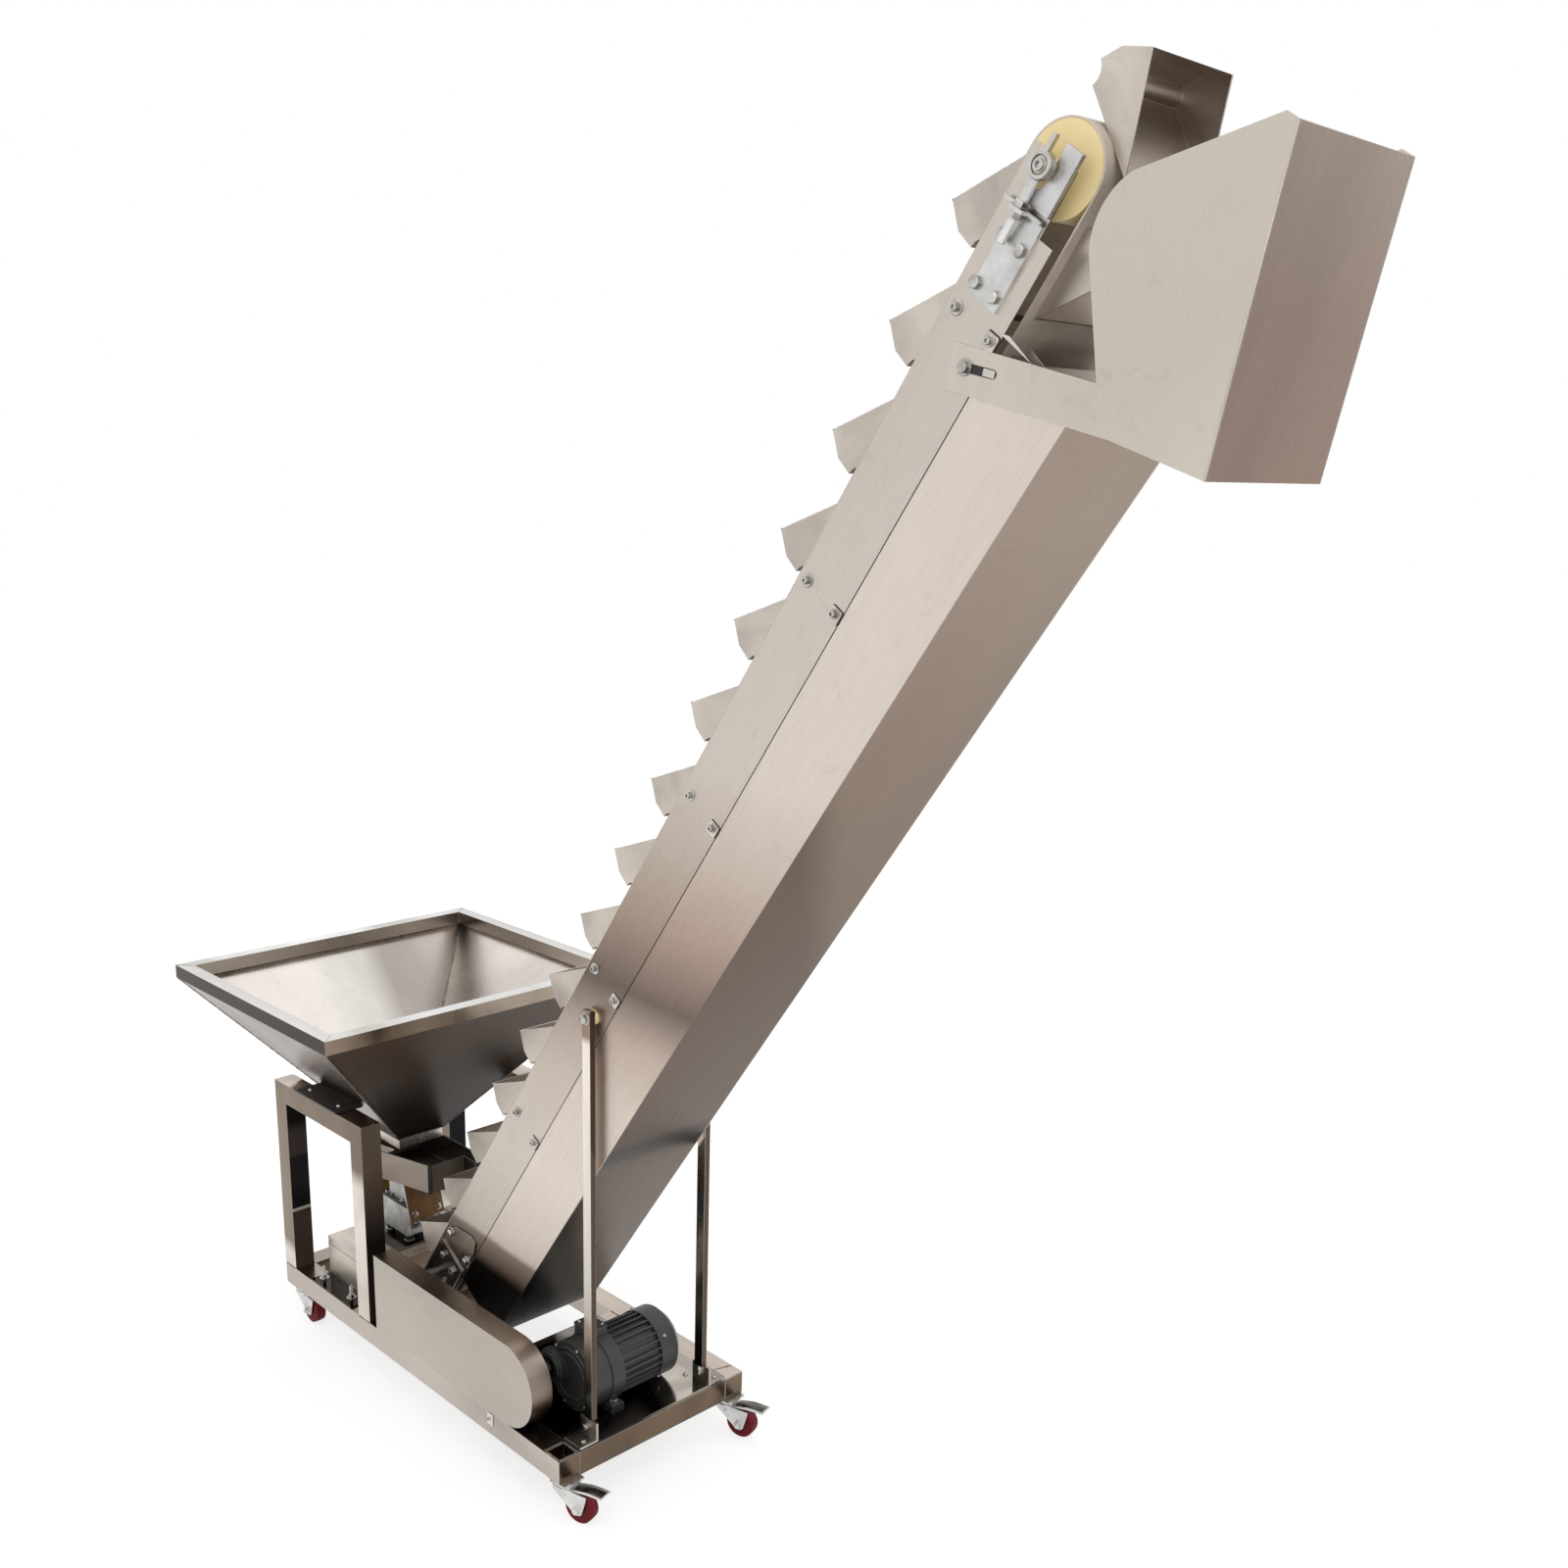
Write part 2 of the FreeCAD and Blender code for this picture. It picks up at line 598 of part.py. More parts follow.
def hopper():
    half_long = d.hopper_length / 2
    half_wide = d.hopper_width / 2
    outer_end = (half_long - 1, half_wide - 1)
    outlet_end = (d.outlet_length / 2, d.outlet_width / 2)
    outer_side = outer_end[::-1]
    outlet_side = outlet_end[::-1]
    finish("hopper_end_walls", group("end_walls", mitred_wall("wall_front", 0, outer_end, outlet_end),
                                     mitred_wall("wall_back", 180, outer_end, outlet_end)))
    finish("hopper_side_walls", group("side_walls", mitred_wall("wall_near", -90, outer_side, outlet_side),
                                      mitred_wall("wall_far", 90, outer_side, outlet_side)))
    middle = d.hopper_place
    rim = cut("rim", box("rim_outer", (middle - half_long, middle + half_long), (-half_wide, half_wide),
                         (wall_top, d.hopper_top)),
              box("rim_inner", (middle - half_long + d.rim_width, middle + half_long - d.rim_width),
                  (d.rim_width - half_wide, half_wide - d.rim_width), (wall_top - 1, d.hopper_top + 1)))
    finish("hopper_rim", rim)
    length = d.outlet_length / 2
    width = d.outlet_width / 2
    collar = cut("collar", box("collar_outer", (middle - length, middle + length), (-width, width),
                               (d.outlet_height - d.collar_height, d.outlet_height)),
                 box("collar_inner", (middle - length + d.hopper_wall, middle + length - d.hopper_wall),
                     (d.hopper_wall - width, width - d.hopper_wall),
                     (d.outlet_height - d.collar_height - 1, d.outlet_height + 1)))
    finish("hopper_collar", collar)


def feeder():
    """The vibrating tray with its magnet drive on rubber feet, on a table with a pedestal."""
    height = (d.table_top - d.table_thickness, d.table_top)
    table = box("table_sheet", (d.table_start, d.table_start + d.table_length),
                (-(d.table_width / 2), d.table_width / 2), height)
    pedestal = box("table_pedestal", (d.feeder_tube_place, d.feeder_tube_place + d.base_tube),
                   (-(d.pedestal_width / 2), d.pedestal_width / 2), (base_top, height[0]))
    finish("feeder_table", join("table", table, pedestal))
    block_end = d.vibrator_start + d.vibrator_length
    block_low = d.table_top + d.foot_height
    block_high = block_low + d.vibrator_height
    half_block = d.vibrator_width / 2
    feet = []
    for number, (x, y) in enumerate(((-1, -1), (-1, 1), (1, -1), (1, 1))):
        place = d.vibrator_start + d.foot_radius + 2 if x < 0 else block_end - d.foot_radius - 2
        feet.append(many_sided(f"foot_{number}", "z", place, y * (half_block - d.foot_radius - 2), d.table_top,
                               d.foot_height, d.foot_radius, 16))
    finish("feeder_feet", group("feet", *feet))
    block = box("block", (d.vibrator_start, block_end), (-half_block, half_block), (block_low, block_high))
    centre = (d.vibrator_start + block_end) / 2
    armature = box("armature", (centre - d.armature_length / 2, centre + d.armature_length / 2),
                   (-half_block + 8, half_block - 8), (block_high, block_high + d.armature_height))
    finish("vibrator_body", join("vibrator", block, armature))
    tray_low = d.tray_top - d.tray_height
    lean = tangent(d.spring_lean)
    springs = []
    clamps = []
    for side, start in (("front", block_end + 20), ("rear", d.vibrator_start - 4)):
        low = block_low + 25
        top_shift = (tray_low - low) * lean
        points = [(start, low), (start + d.spring_thickness, low),
                  (start + d.spring_thickness - top_shift, tray_low), (start - top_shift, tray_low)]
        springs.append(plate(f"spring_{side}", points, -half_block - 3, half_block + 3))
    finish("leaf_springs", group("springs", *springs))
    low = block_low + 25
    shift = (block_high - low) * lean
    clamps.append(plate("clamp_front", [(block_end, low), (block_end + 20, low),
                                        (block_end + 20 - shift, block_high), (block_end, block_high)],
                        -half_block, half_block))
    clamps.append(plate("clamp_rear", [(d.vibrator_start - 4 + d.spring_thickness, low), (d.vibrator_start, low),
                                       (d.vibrator_start, block_high),
                                       (d.vibrator_start - 4 + d.spring_thickness - shift, block_high)],
                        -half_block, half_block))
    finish("spring_clamps", group("clamps", *clamps))
    tray()


def tray():
    """A tray that narrows towards its front, with a spout on its far side that feeds the buckets."""
    low = d.tray_top - d.tray_height
    wide = d.tray_width / 2
    wall = d.tray_wall
    body = doc.addObject("PartDesign::Body", "tray")
    outer = [(d.tray_back, -wide), (d.tray_bend, -wide), (d.tray_front, -d.tray_corner),
             (d.tray_front, d.spout_start), (d.spout_end, d.spout_start), (d.spout_end, wide),
             (d.tray_back, wide)]
    pad(body, "tray_pad", outline(body, "tray_outline", outer, low, "XY_Plane"), d.tray_height, False)
    inner = [(d.tray_back + wall, wall - wide), (d.tray_bend, wall - wide),
             (d.tray_front - wall, wall - d.tray_corner),
             (d.tray_front - wall, d.spout_start + wall), (d.spout_end + wall, d.spout_start + wall),
             (d.spout_end + wall, wide - wall), (d.tray_back + wall, wide - wall)]
    sketch = outline(body, "tray_inside", inner, d.tray_top, "XY_Plane")
    pocket(body, "tray_pocket", sketch, d.tray_height - wall, False)
    finish("feeder_tray", body)


def control_box():
    finish("control_box", group("control", box(
        "control_case", (d.control_start, d.control_start + d.control_length),
        (control_near, control_near + d.control_width), (plate_top, plate_top + d.control_height))))


def chain_guard():
    """A closed cover with a round end round the motor's sprocket."""
    radius = d.guard_height / 2
    low = base_top
    points = [(guard_start, low), (d.motor_place, low), (d.motor_place, low + d.guard_height, radius + 0.001),
              (guard_start, low + d.guard_height)]
    body = plate("guard", points, -half_width, d.guard_depth - half_width)
    wall = d.guard_sheet
    inside = [(guard_start + wall, low + wall), (d.motor_place, low + wall),
              (d.motor_place, low + d.guard_height - wall, radius - wall + 0.001),
              (guard_start + wall, low + d.guard_height - wall)]
    sketch = outline(body, "guard_inside", inside, d.guard_depth - half_width)
    pocket(body, "guard_pocket", sketch, d.guard_depth - wall)
    finish("chain_guard", body)


def motor():
    """The geared motor lies across the base, its shaft towards the chain guard."""
    x = d.motor_place + d.motor_offset
    z = d.motor_height
    start = d.motor_front - half_width
    nose = rod("gearbox_nose", "y", d.motor_place, start - d.nose_length, d.motor_shaft_height, d.nose_length + 1,
               d.nose_radius)
    case = rod("gearbox_round", "y", x, start, z, d.gearbox_length, d.gearbox_radius)
    bore = rod("gearbox_bore", "y", d.motor_place, start - d.nose_length - 1, d.motor_shaft_height,
               d.shaft_seat + d.nose_length + 1, d.motor_shaft_radius + d.shaft_play)
    finish("gearbox", cut("gearbox_case", join("gearbox_whole", case, nose), bore))
    flange_start = start + d.gearbox_length
    flange_end = flange_start + d.motor_foot_thickness
    flange = rod("flange_round", "y", x, flange_start, z, d.motor_foot_thickness, d.motor_flange_radius)
    foot = box("flange_foot", (x - d.motor_foot_length / 2, x + d.motor_foot_length / 2),
               (flange_start, flange_end), (plate_top, plate_top + d.motor_foot_height))
    web = box("flange_web", (x - d.gearbox_radius / 2, x + d.gearbox_radius / 2), (flange_start, flange_end),
              (plate_top, z))
    finish("motor_foot", join("flange", flange, foot, web))
    rib = box("rib", (-(d.rib_thickness / 2), d.rib_thickness / 2), (flange_end, flange_end + d.motor_length),
              (d.motor_core - 2, d.motor_radius))
    ribs = [copy_of(f"rib_{number}", rib, x, z, as_size(360 * (number + 0.5)) / d.rib_count)
            for number in range(int(d.rib_count.value))]
    core = rod("motor_round", "y", x, flange_end, z, d.motor_length, d.motor_core)
    finish("motor_body", join("motor_ribbed", core, *ribs))
    radius = d.gearbox_radius
    length = d.fan_cover_length
    edge = d.cover_slant
    profile = [(as_size(0), as_size(0)), (radius, as_size(0)), (radius, length - edge), (radius - edge, length),
               (as_size(0), length)]
    finish("fan_cover", group("cover", turned("cover_round", x, flange_end + d.motor_length, z, profile)))
    terminal_start = d.terminal_near - half_width
    terminal = box("terminal_case", (d.terminal_start, d.terminal_start + d.terminal_length),
                   (terminal_start, terminal_start + d.terminal_width), (z + d.nose_radius, d.terminal_top))
    seat = rod("terminal_seat", "y", x, terminal_start - 1, z, d.terminal_width + 2, d.motor_flange_radius)
    finish("terminal_box", cut("terminal", terminal, seat))
    sprocket_start = d.sprocket_depth - half_width
    shaft_start = sprocket_start - d.sprocket_end
    shaft = rod("output_round", "y", d.motor_place, shaft_start, d.motor_shaft_height,
                start + d.shaft_seat - d.shaft_play - shaft_start, d.motor_shaft_radius)
    sprocket = rod("output_sprocket", "y", d.motor_place, sprocket_start, d.motor_shaft_height,
                   d.sprocket_thickness, d.motor_sprocket_radius)
    finish("motor_shaft", join("output", shaft, sprocket))


def casing():
    """Two side plates with narrow necks, and the channel that holds the strand going down."""
    neck_top = head_place + d.neck_reach
    side_top = neck_top - d.neck_length
    side = [(as_size(0), as_size(0)), (neck_top, as_size(0)), (neck_top, -d.neck_depth), (side_top, -d.neck_depth),
            (side_top, -d.side_depth), (d.side_depth / tangent(d.incline_angle), -d.side_depth)]
    hole = d.shaft_radius + 2
    plates = []
    for name, low in (("near", -half_casing), ("far", half_casing - d.casing_sheet)):
        body = plate(f"side_{name}", side, low, low + d.casing_sheet)
        through = (low - 1, low + d.casing_sheet + 1)
        start = slot_place()
        middle = -d.pulley_depth
        length = d.casing_sheet + 2
        slot = box(f"neck_slot_{name}", (start, neck_top + 1), through, (middle - hole, middle + hole))
        slot_end = rod(f"neck_slot_end_{name}", "y", start, through[0], middle, length, hole)
        foot_hole = rod(f"foot_hole_{name}", "y", d.drive_place, through[0], middle, length, hole)
        plates.append(cut(f"side_{name}_cut", body, slot, slot_end, foot_hole))
    finish("casing_plates", group("side_plates", *plates), "incline")
    start = d.channel_start
    top = head_place - d.channel_below
    end = top + d.channel_lean
    depth = d.channel_depth
    wall = [(start, -d.side_depth), (top, -d.side_depth), (end, -depth), (start, -depth)]
    reach = half_casing - d.channel_inset
    walls = [plate(f"channel_{name}", wall, low, low + d.casing_sheet)
             for name, low in (("near", -reach), ("far", reach - d.casing_sheet))]
    finish("channel_sides", group("channel_walls", *walls), "incline")
    floor = box("channel_floor_sheet", (start, end), (d.casing_sheet - reach, reach - d.casing_sheet),
                (-depth, d.casing_sheet - depth))
    finish("channel_floor", group("channel_floors", floor), "incline")
    pitch = (head_place - d.tie_below - d.tie_last) / (d.tie_count - 1)
    rods = [many_sided(f"tie_{number}", "y", d.tie_last + number * pitch, d.casing_sheet - half_casing, -d.tie_depth,
                       d.casing_width - 2 * d.casing_sheet, d.tie_radius, 6)
            for number in range(int(d.tie_count.value))]
    finish("casing_ties", group("ties", *rods), "incline")


def slot_place():
    """Lower end of the head shaft's slot, at the middle of its round end."""
    return head_place - d.slider_below + d.slot_start + d.shaft_radius


def pulley_places():
    return (("head", head_place), ("drive", d.drive_place))


def belt():
    """The belt as one closed loop round both pulleys."""
    outer_radius = d.belt_inner + d.belt_thickness
    shapes = []
    for name, radius in (("outer", outer_radius), ("inner", d.belt_inner)):
        pieces = []
        for place_name, place in pulley_places():
            pieces.append(rod(f"belt_{name}_{place_name}", "y", place, -(d.belt_width / 2), -d.pulley_depth,
                              d.belt_width, radius))
        low, high = (place for _, place in reversed(pulley_places()))
        pieces.append(box(f"belt_{name}_middle", (low, high), (-(d.belt_width / 2), d.belt_width / 2),
                          (-d.pulley_depth - radius, -d.pulley_depth + radius)))
        shapes.append(join(f"belt_{name}", *pieces))
    finish("belt", cut("belt_loop", *shapes), "incline")


def bucket_form():
    """One bucket: its lip at zero along the belt, its back on the belt and its bottom rounded."""
    reach = d.bucket_reach
    back = d.bucket_back
    sheet_size = d.bucket_sheet
    half = d.bucket_width / 2
    fall = reach - d.bucket_fall
    toe = -d.bucket_toe
    heel = -d.bucket_heel
    outer = [(back, as_size(0)), (as_size(0), reach), (toe, fall), (toe - 4, d.bucket_round),
             (heel, as_size(0), -d.bucket_round - 0.1)]
    body = plate("bucket", outer, -half, half)
    inner = [(back, sheet_size), (back + 4, sheet_size + 3), (as_size(3), reach + 4), (toe + sheet_size, fall),
             (toe - 4 + sheet_size, d.bucket_round), (heel, sheet_size, 1.9 - d.bucket_round - 0.1)]
    sketch = outline(body, "bucket_inside", inner, half - sheet_size)
    pocket(body, "bucket_pocket", sketch, d.bucket_width - 2 * sheet_size)
    return body


def buckets():
    """Every bucket of the loop: up the slope, round the head, down again and round the foot."""
    form = bucket_form()
    pitch_radius = d.belt_inner + d.belt_thickness / 2
    outer_radius = d.belt_inner + d.belt_thickness
    half_turn = math.pi * pitch_radius
    loop = 2 * d.pulley_span + 2 * half_turn
    count = int(loop.value / d.bucket_pitch.value)
    going_up = []
    turning = []
    going_down = []
    for number in range(count):
        past_head = d.bucket_bolt - d.bucket_below + (number + 1) * d.bucket_pitch
        if past_head.value > (half_turn * 2 + d.pulley_span).value:
            place = head_place - loop + past_head - d.bucket_bolt
            going_up.append(copy_of(f"bucket_{number}", form, place, outer_radius - d.pulley_depth))
        elif past_head.value > (half_turn + d.pulley_span).value:
            angle = 180 + (past_head - half_turn - d.pulley_span) / pitch_radius * (180 / math.pi)
            turning.append(turned_bucket(f"bucket_{number}", form, d.drive_place, angle))
        elif past_head.value > half_turn.value:
            place = head_place - past_head + half_turn + d.bucket_bolt
            going_down.append(copy_of(f"bucket_{number}", form, place, -d.pulley_depth - outer_radius, 180))
        else:
            angle = past_head / pitch_radius * (180 / math.pi)
            turning.append(turned_bucket(f"bucket_{number}", form, head_place, angle))
    finish("carry_buckets", group("buckets_up", *going_up), "incline")
    finish("return_buckets", group("buckets_down", *going_down), "incline")
    finish("turn_buckets", group("buckets_turning", *turning), "incline")


def turned_bucket(name, form, place, angle):
    outer_radius = d.belt_inner + d.belt_thickness
    x = place - d.bucket_bolt * cosine(angle) + outer_radius * sine(angle)
    z = d.bucket_bolt * sine(angle) + outer_radius * cosine(angle) - d.pulley_depth
    return copy_of(name, form, x, z, angle)


def pulleys():
    """Two drums with their shafts. The lower shaft reaches into the chain guard."""
    half_belt = d.belt_width / 2
    shaft_end = half_casing + d.bearing_thickness
    head = head_place
    drum_radius = d.belt_inner - d.belt_gap
    drum = rod("head_drum", "y", head, -half_belt, -d.pulley_depth, d.belt_width, drum_radius)
    axle_end = half_casing + d.screw_offset + d.eye_width / 2 + 1
    shaft = rod("head_axle", "y", head, -axle_end, -d.pulley_depth, 2 * axle_end, d.shaft_radius)
    finish("head_pulley", join("head_roll", drum, shaft), "incline")
    drive = d.drive_place
    drum = rod("drive_drum", "y", drive, -half_belt, -d.pulley_depth, d.belt_width, drum_radius)
    sprocket_start = d.sprocket_depth - half_width
    shaft = rod("drive_axle", "y", drive, sprocket_start - d.sprocket_end, -d.pulley_depth,
                shaft_end - sprocket_start + d.sprocket_end, d.shaft_radius)
    sprocket = rod("drive_sprocket", "y", drive, sprocket_start, -d.pulley_depth, d.sprocket_thickness,
                   d.drive_sprocket_radius)
    finish("drive_pulley", join("drive_roll", drum, shaft, sprocket), "incline")


def both_sides(name, low, high, maker):
    """The same piece on the near side and, mirrored, on the far side."""
    low, high = as_size(low), as_size(high)
    return [maker(f"{name}_near", (-high, -low)), maker(f"{name}_far", (low, high))]


def head_takeup():
    """Plates on the necks, slotted sliders that hold the head shaft, and their screws with an eye."""
    start = head_place - d.takeup_below
    end = start + d.takeup_length
    middle = -d.pulley_depth
    bore = d.shaft_radius + d.shaft_play

    def fixed(name, across):
        return box(name, (start, end), across, (-d.takeup_edge - d.takeup_depth, -d.takeup_edge))
    finish("takeup_plates", group("takeups", *both_sides("takeup", half_casing, half_casing + d.takeup_thickness,
                                                         fixed)), "incline")

    def slider(name, across):
        low_end = head_place - d.slider_below
        whole = box(f"{name}_sheet", (low_end, low_end + d.slider_length), across,
                    (-d.slider_edge - d.slider_depth, -d.slider_edge))
        low = (across[0] - 1, across[1] + 1)
        slot = box(f"{name}_slot", (slot_place(), low_end + d.slider_length + 1), low,
                   (middle - bore, middle + bore))
        slot_end = rod(f"{name}_end", "y", slot_place(), low[0], middle, low[1] - low[0], bore)
        return cut(name, whole, slot, slot_end)
    finish("takeup_sliders", group("sliders", *both_sides("slider", half_casing, half_casing + d.slider_thickness,
                                                          slider)), "incline")

    inner = half_casing + d.takeup_thickness
    outer = half_casing + d.screw_offset

    def flange(name, across):
        place = across[0] if name.endswith("near") else across[1]
        sheet_piece = box(f"{name}_sheet", (end, end + d.takeup_thickness), across,
                          (middle - d.flange_lobe, middle + d.flange_lobe))
        edge = across[1] - d.takeup_thickness if name.endswith("near") else across[0]
        wide = box(f"{name}_wide", (end, end + d.takeup_thickness), (edge, edge + d.takeup_thickness),
                   (middle - d.flange_reach, middle + d.flange_reach))
        lobe = rod(f"{name}_lobe", "x", end, place, middle, d.takeup_thickness, d.flange_lobe)
        hole = rod(f"{name}_hole", "x", end - 1, place, middle, d.takeup_thickness + 2, d.screw_radius)
        return cut(name, join(f"{name}_whole", sheet_piece, wide, lobe), hole)
    finish("takeup_flanges", group("flanges", *both_sides("flange_plate", inner, outer, flange)), "incline")

    def screw(name, across):
        place = (across[0] + across[1]) / 2
        low_end = head_place - d.screw_below
        length = d.screw_below - d.shaft_radius - 1
        thread = rod(f"{name}_thread", "x", low_end, place, middle, length, d.screw_radius)
        eye = rod(f"{name}_eye", "y", head_place, across[0], middle, d.eye_width, d.eye_radius)
        hole = rod(f"{name}_hole", "y", head_place, across[0] - 1, middle, d.eye_width + 2, bore)
        return cut(name, join(f"{name}_whole", thread, eye), hole)
    finish("takeup_screws", group("screws", *both_sides("screw", outer - d.eye_width / 2, outer + d.eye_width / 2,
                                                        screw)), "incline")


def foot_bearings():
    """Thick plates that hold the lower shaft, each with a thinner bracket above it."""
    low = d.drive_place - d.bearing_below
    high = d.drive_place + d.bearing_above
    edge = -d.bearing_edge
    end = edge - d.bearing_depth
    form = [(low, edge), (high, edge), (high, end), (low + d.bearing_slant, end)]
    bracket = [(high, edge - 3), (high + 34, edge - 3), (high + 51, edge - 12.4), (high + 76, edge - 48),
               (high + 76, edge - 63.7), (high + 57, end), (high, end)]

    def bearing(name, across):
        inner = across[1] - d.bracket_thickness if name.endswith("near") else across[0]
        whole = join(f"{name}_whole", plate(f"{name}_plate", form, *across),
                     plate(f"{name}_bracket", bracket, inner, inner + d.bracket_thickness))
        hole = rod(f"{name}_hole", "y", d.drive_place, across[0] - 1, -d.pulley_depth, d.bearing_thickness + 2,
                   d.shaft_radius + d.shaft_play)
        return cut(name, whole, hole)
    finish("foot_bearings", group("bearings", *both_sides("bearing", half_casing, half_casing + d.bearing_thickness,
                                                          bearing)), "incline")


def hood():
    """Two side plates with a round upper back corner, and the sloping front sheet between them."""
    nose = (d.hood_nose, d.hood_nose_rise)
    toe = (d.hood_toe, -d.hood_toe_drop)
    heel = (d.hood_heel, -d.hood_heel_drop)
    rear = (d.hood_rear, -d.hood_rear_drop)
    side = [(d.hood_shoulder, -d.hood_shoulder_drop, -d.hood_round), (d.hood_ridge, d.hood_ridge_rise), nose, toe,
            heel, rear, (d.hood_cheek, -d.hood_cheek_drop)]
    half = d.hood_width / 2
    wall = d.hood_sheet
    sides = [plate(f"hood_{name}", side, low, low + wall) for name, low in (("near", -half), ("far", half - wall))]
    finish("hood_sides", group("hood_pair", *sides), "head")
    front = [nose, toe, (toe[0] - wall, toe[1]), (nose[0] - wall, nose[1])]
    finish("hood_front", plate("hood_face", front, wall - half, half - wall), "head")
    back = [rear, heel, (heel[0] + wall, heel[1]), (rear[0] + wall, rear[1])]
    finish("hood_back", plate("hood_rear", back, -half_casing, half_casing), "head")
    arm = [(head_place - d.arm_high, -d.arm_high_depth), (head_place - d.arm_end, -d.arm_end_depth),
           (head_place - d.arm_tip, -d.arm_tip_depth), (head_place - d.arm_low, -d.arm_low_depth)]
    arms = [plate(f"arm_{name}", arm, low, low + wall)
            for name, low in (("near", -half_casing - wall), ("far", half_casing))]
    finish("hood_arms", group("arm_pair", *arms), "incline")


def posts():
    """Two flat posts, each bolted to the casing and to an angle bracket on the base."""
    inner = half_casing + d.spacer_length
    outer = inner + d.post_depth
    x = (d.post_place - d.post_length / 2, d.post_place + d.post_length / 2)
    finish("posts", group("post_pair", *both_sides("post", inner, outer, lambda name, across: box(
        name, x, across, (d.post_start, d.post_top)))))

    def bracket(name, across):
        wide = (d.post_place - d.foot_length / 2, d.post_place + d.foot_length / 2)
        level = box(f"{name}_level", wide, across, (plate_top, plate_top + d.foot_sheet))
        stem_low = across[1] - d.foot_sheet if name.endswith("near") else across[0]
        stem = box(f"{name}_upright", wide, (stem_low, stem_low + d.foot_sheet), (plate_top, d.post_start))
        hole = rod(f"{name}_hole", "y", d.post_place - 4, stem_low - 1, base_top + d.foot_hole_height,
                   d.foot_sheet + 2, d.foot_hole)
        return cut(name, join(f"{name}_whole", level, stem), hole)
    finish("post_feet", group("foot_pair", *both_sides("post_foot", outer - d.foot_sheet, outer + d.foot_reach,
                                                       bracket)))
    finish("post_spacers", group("spacer_pair", *both_sides("spacer", half_casing, inner, lambda name, across: rod(
        name, "y", d.post_place, across[0], d.post_bolt, d.spacer_length, d.spacer_radius))))


def caster_forms():
    """A fork, a wheel and a mount, made round the swivel axis with the wheel trailing to +X."""
    crown_high = d.base_height - d.crown_gap
    crown = (crown_high - d.fork_sheet, crown_high)
    leg_inner = d.wheel_width / 2 + d.fork_gap
    leg_outer = leg_inner + d.fork_sheet
    trail = d.caster_trail
    axle_height = d.wheel_radius
    leg = [(-17, crown[0]), (-17, crown[0] - 5), (trail - 8, axle_height - 8), (trail + 4, axle_height - 10),
           (trail + 9, axle_height - 5), (trail + 9, axle_height + 6), (19, crown[0] - 1), (19, crown[0])]
    pieces = [plate("leg_near", leg, -leg_outer, -leg_inner), plate("leg_far", leg, leg_inner, leg_outer)]
    pieces.append(box("crown", (as_size(-17), as_size(19)), (-leg_outer, leg_outer), crown))
    pieces.append(rod("kingpin", "z", 0, 0, crown[0], 10, 5))
    pieces.append(rod("axle", "y", trail, -leg_outer, axle_height, 2 * leg_outer, d.axle_radius))
    tip = crown[1] + d.pedal_rise
    pedal = [(17, crown[0]), (17, crown[1]), (46, tip - 1.5), (d.pedal_end, tip), (d.pedal_end, tip - 2),
             (46, tip - 3.5)]
    pieces.append(plate("pedal", pedal, 1 - leg_outer, leg_outer - 1))
    wheel_solid = rod("wheel_round", "y", 0, -(d.wheel_width / 2), 0, d.wheel_width, d.wheel_radius)
    wheel_hole = rod("wheel_bore", "y", 0, -(d.wheel_width / 2) - 1, 0, d.wheel_width + 2,
                     d.axle_radius + d.shaft_play)
    side = d.caster_plate
    top_plate = box("caster_plate", (-side, side), (-side, side), (d.base_height - 3, d.base_height))
    race = rod("caster_race", "z", 0, 0, crown_high + 0.3, d.crown_gap - 3.3, 16)
    bore = rod("caster_bore", "z", 0, 0, crown_high - 1, 10, 5.05)
    mount = cut("mount", join("mount_whole", top_plate, race), bore)
    return join("fork", *pieces), cut("wheel", wheel_solid, wheel_hole), mount


def casters():
    """Four swivel casters, those of the discharge end turned a little outwards."""
    fork, wheel, mount = caster_forms()
    mounts = []
    for end, place, turn in (("hopper", d.caster_rear, as_size(0)),
                             ("motor", d.base_length - d.caster_front, d.caster_turn)):
        for side, sign in (("near", -1), ("far", 1)):
            across = sign * (half_width - d.caster_inset)
            mounts.append(placed(f"mount_{end}_{side}", mount, place, across, 0, as_size(0)))
            finish(f"caster_fork_{end}_{side}", placed(f"fork_{end}_{side}", fork, place, across, 0, turn), "own")
            axle = (place + d.caster_trail * cosine(turn), across + d.caster_trail * sine(turn))
            finish(f"caster_wheel_{end}_{side}", placed(f"wheel_{end}_{side}", wheel, *axle, d.wheel_radius, turn),
                   "own")
    finish("caster_mounts", group("mounts", *mounts), "own")


def placed(name, form, x, y, z, turn):
    """The same form again, turned about Z."""
    item = doc.addObject("Part::Compound", name)
    item.Links = [form]
    item.Placement = Placement(Vector(), Rotation(Vector(0, 0, 1), turn.value))
    bind(item, "Placement.Rotation.Angle", turn)
    bind(item, "Placement.Rotation.Axis.z", 1)
    move(item, x - middle_x, y, z)
    return item


doc.recompute()
base_frame()
hopper_stand()
hopper()
feeder()
control_box()
chain_guard()
motor()
casing()
belt()
buckets()
pulleys()
head_takeup()
foot_bearings()
hood()
posts()
casters()
doc.recompute()

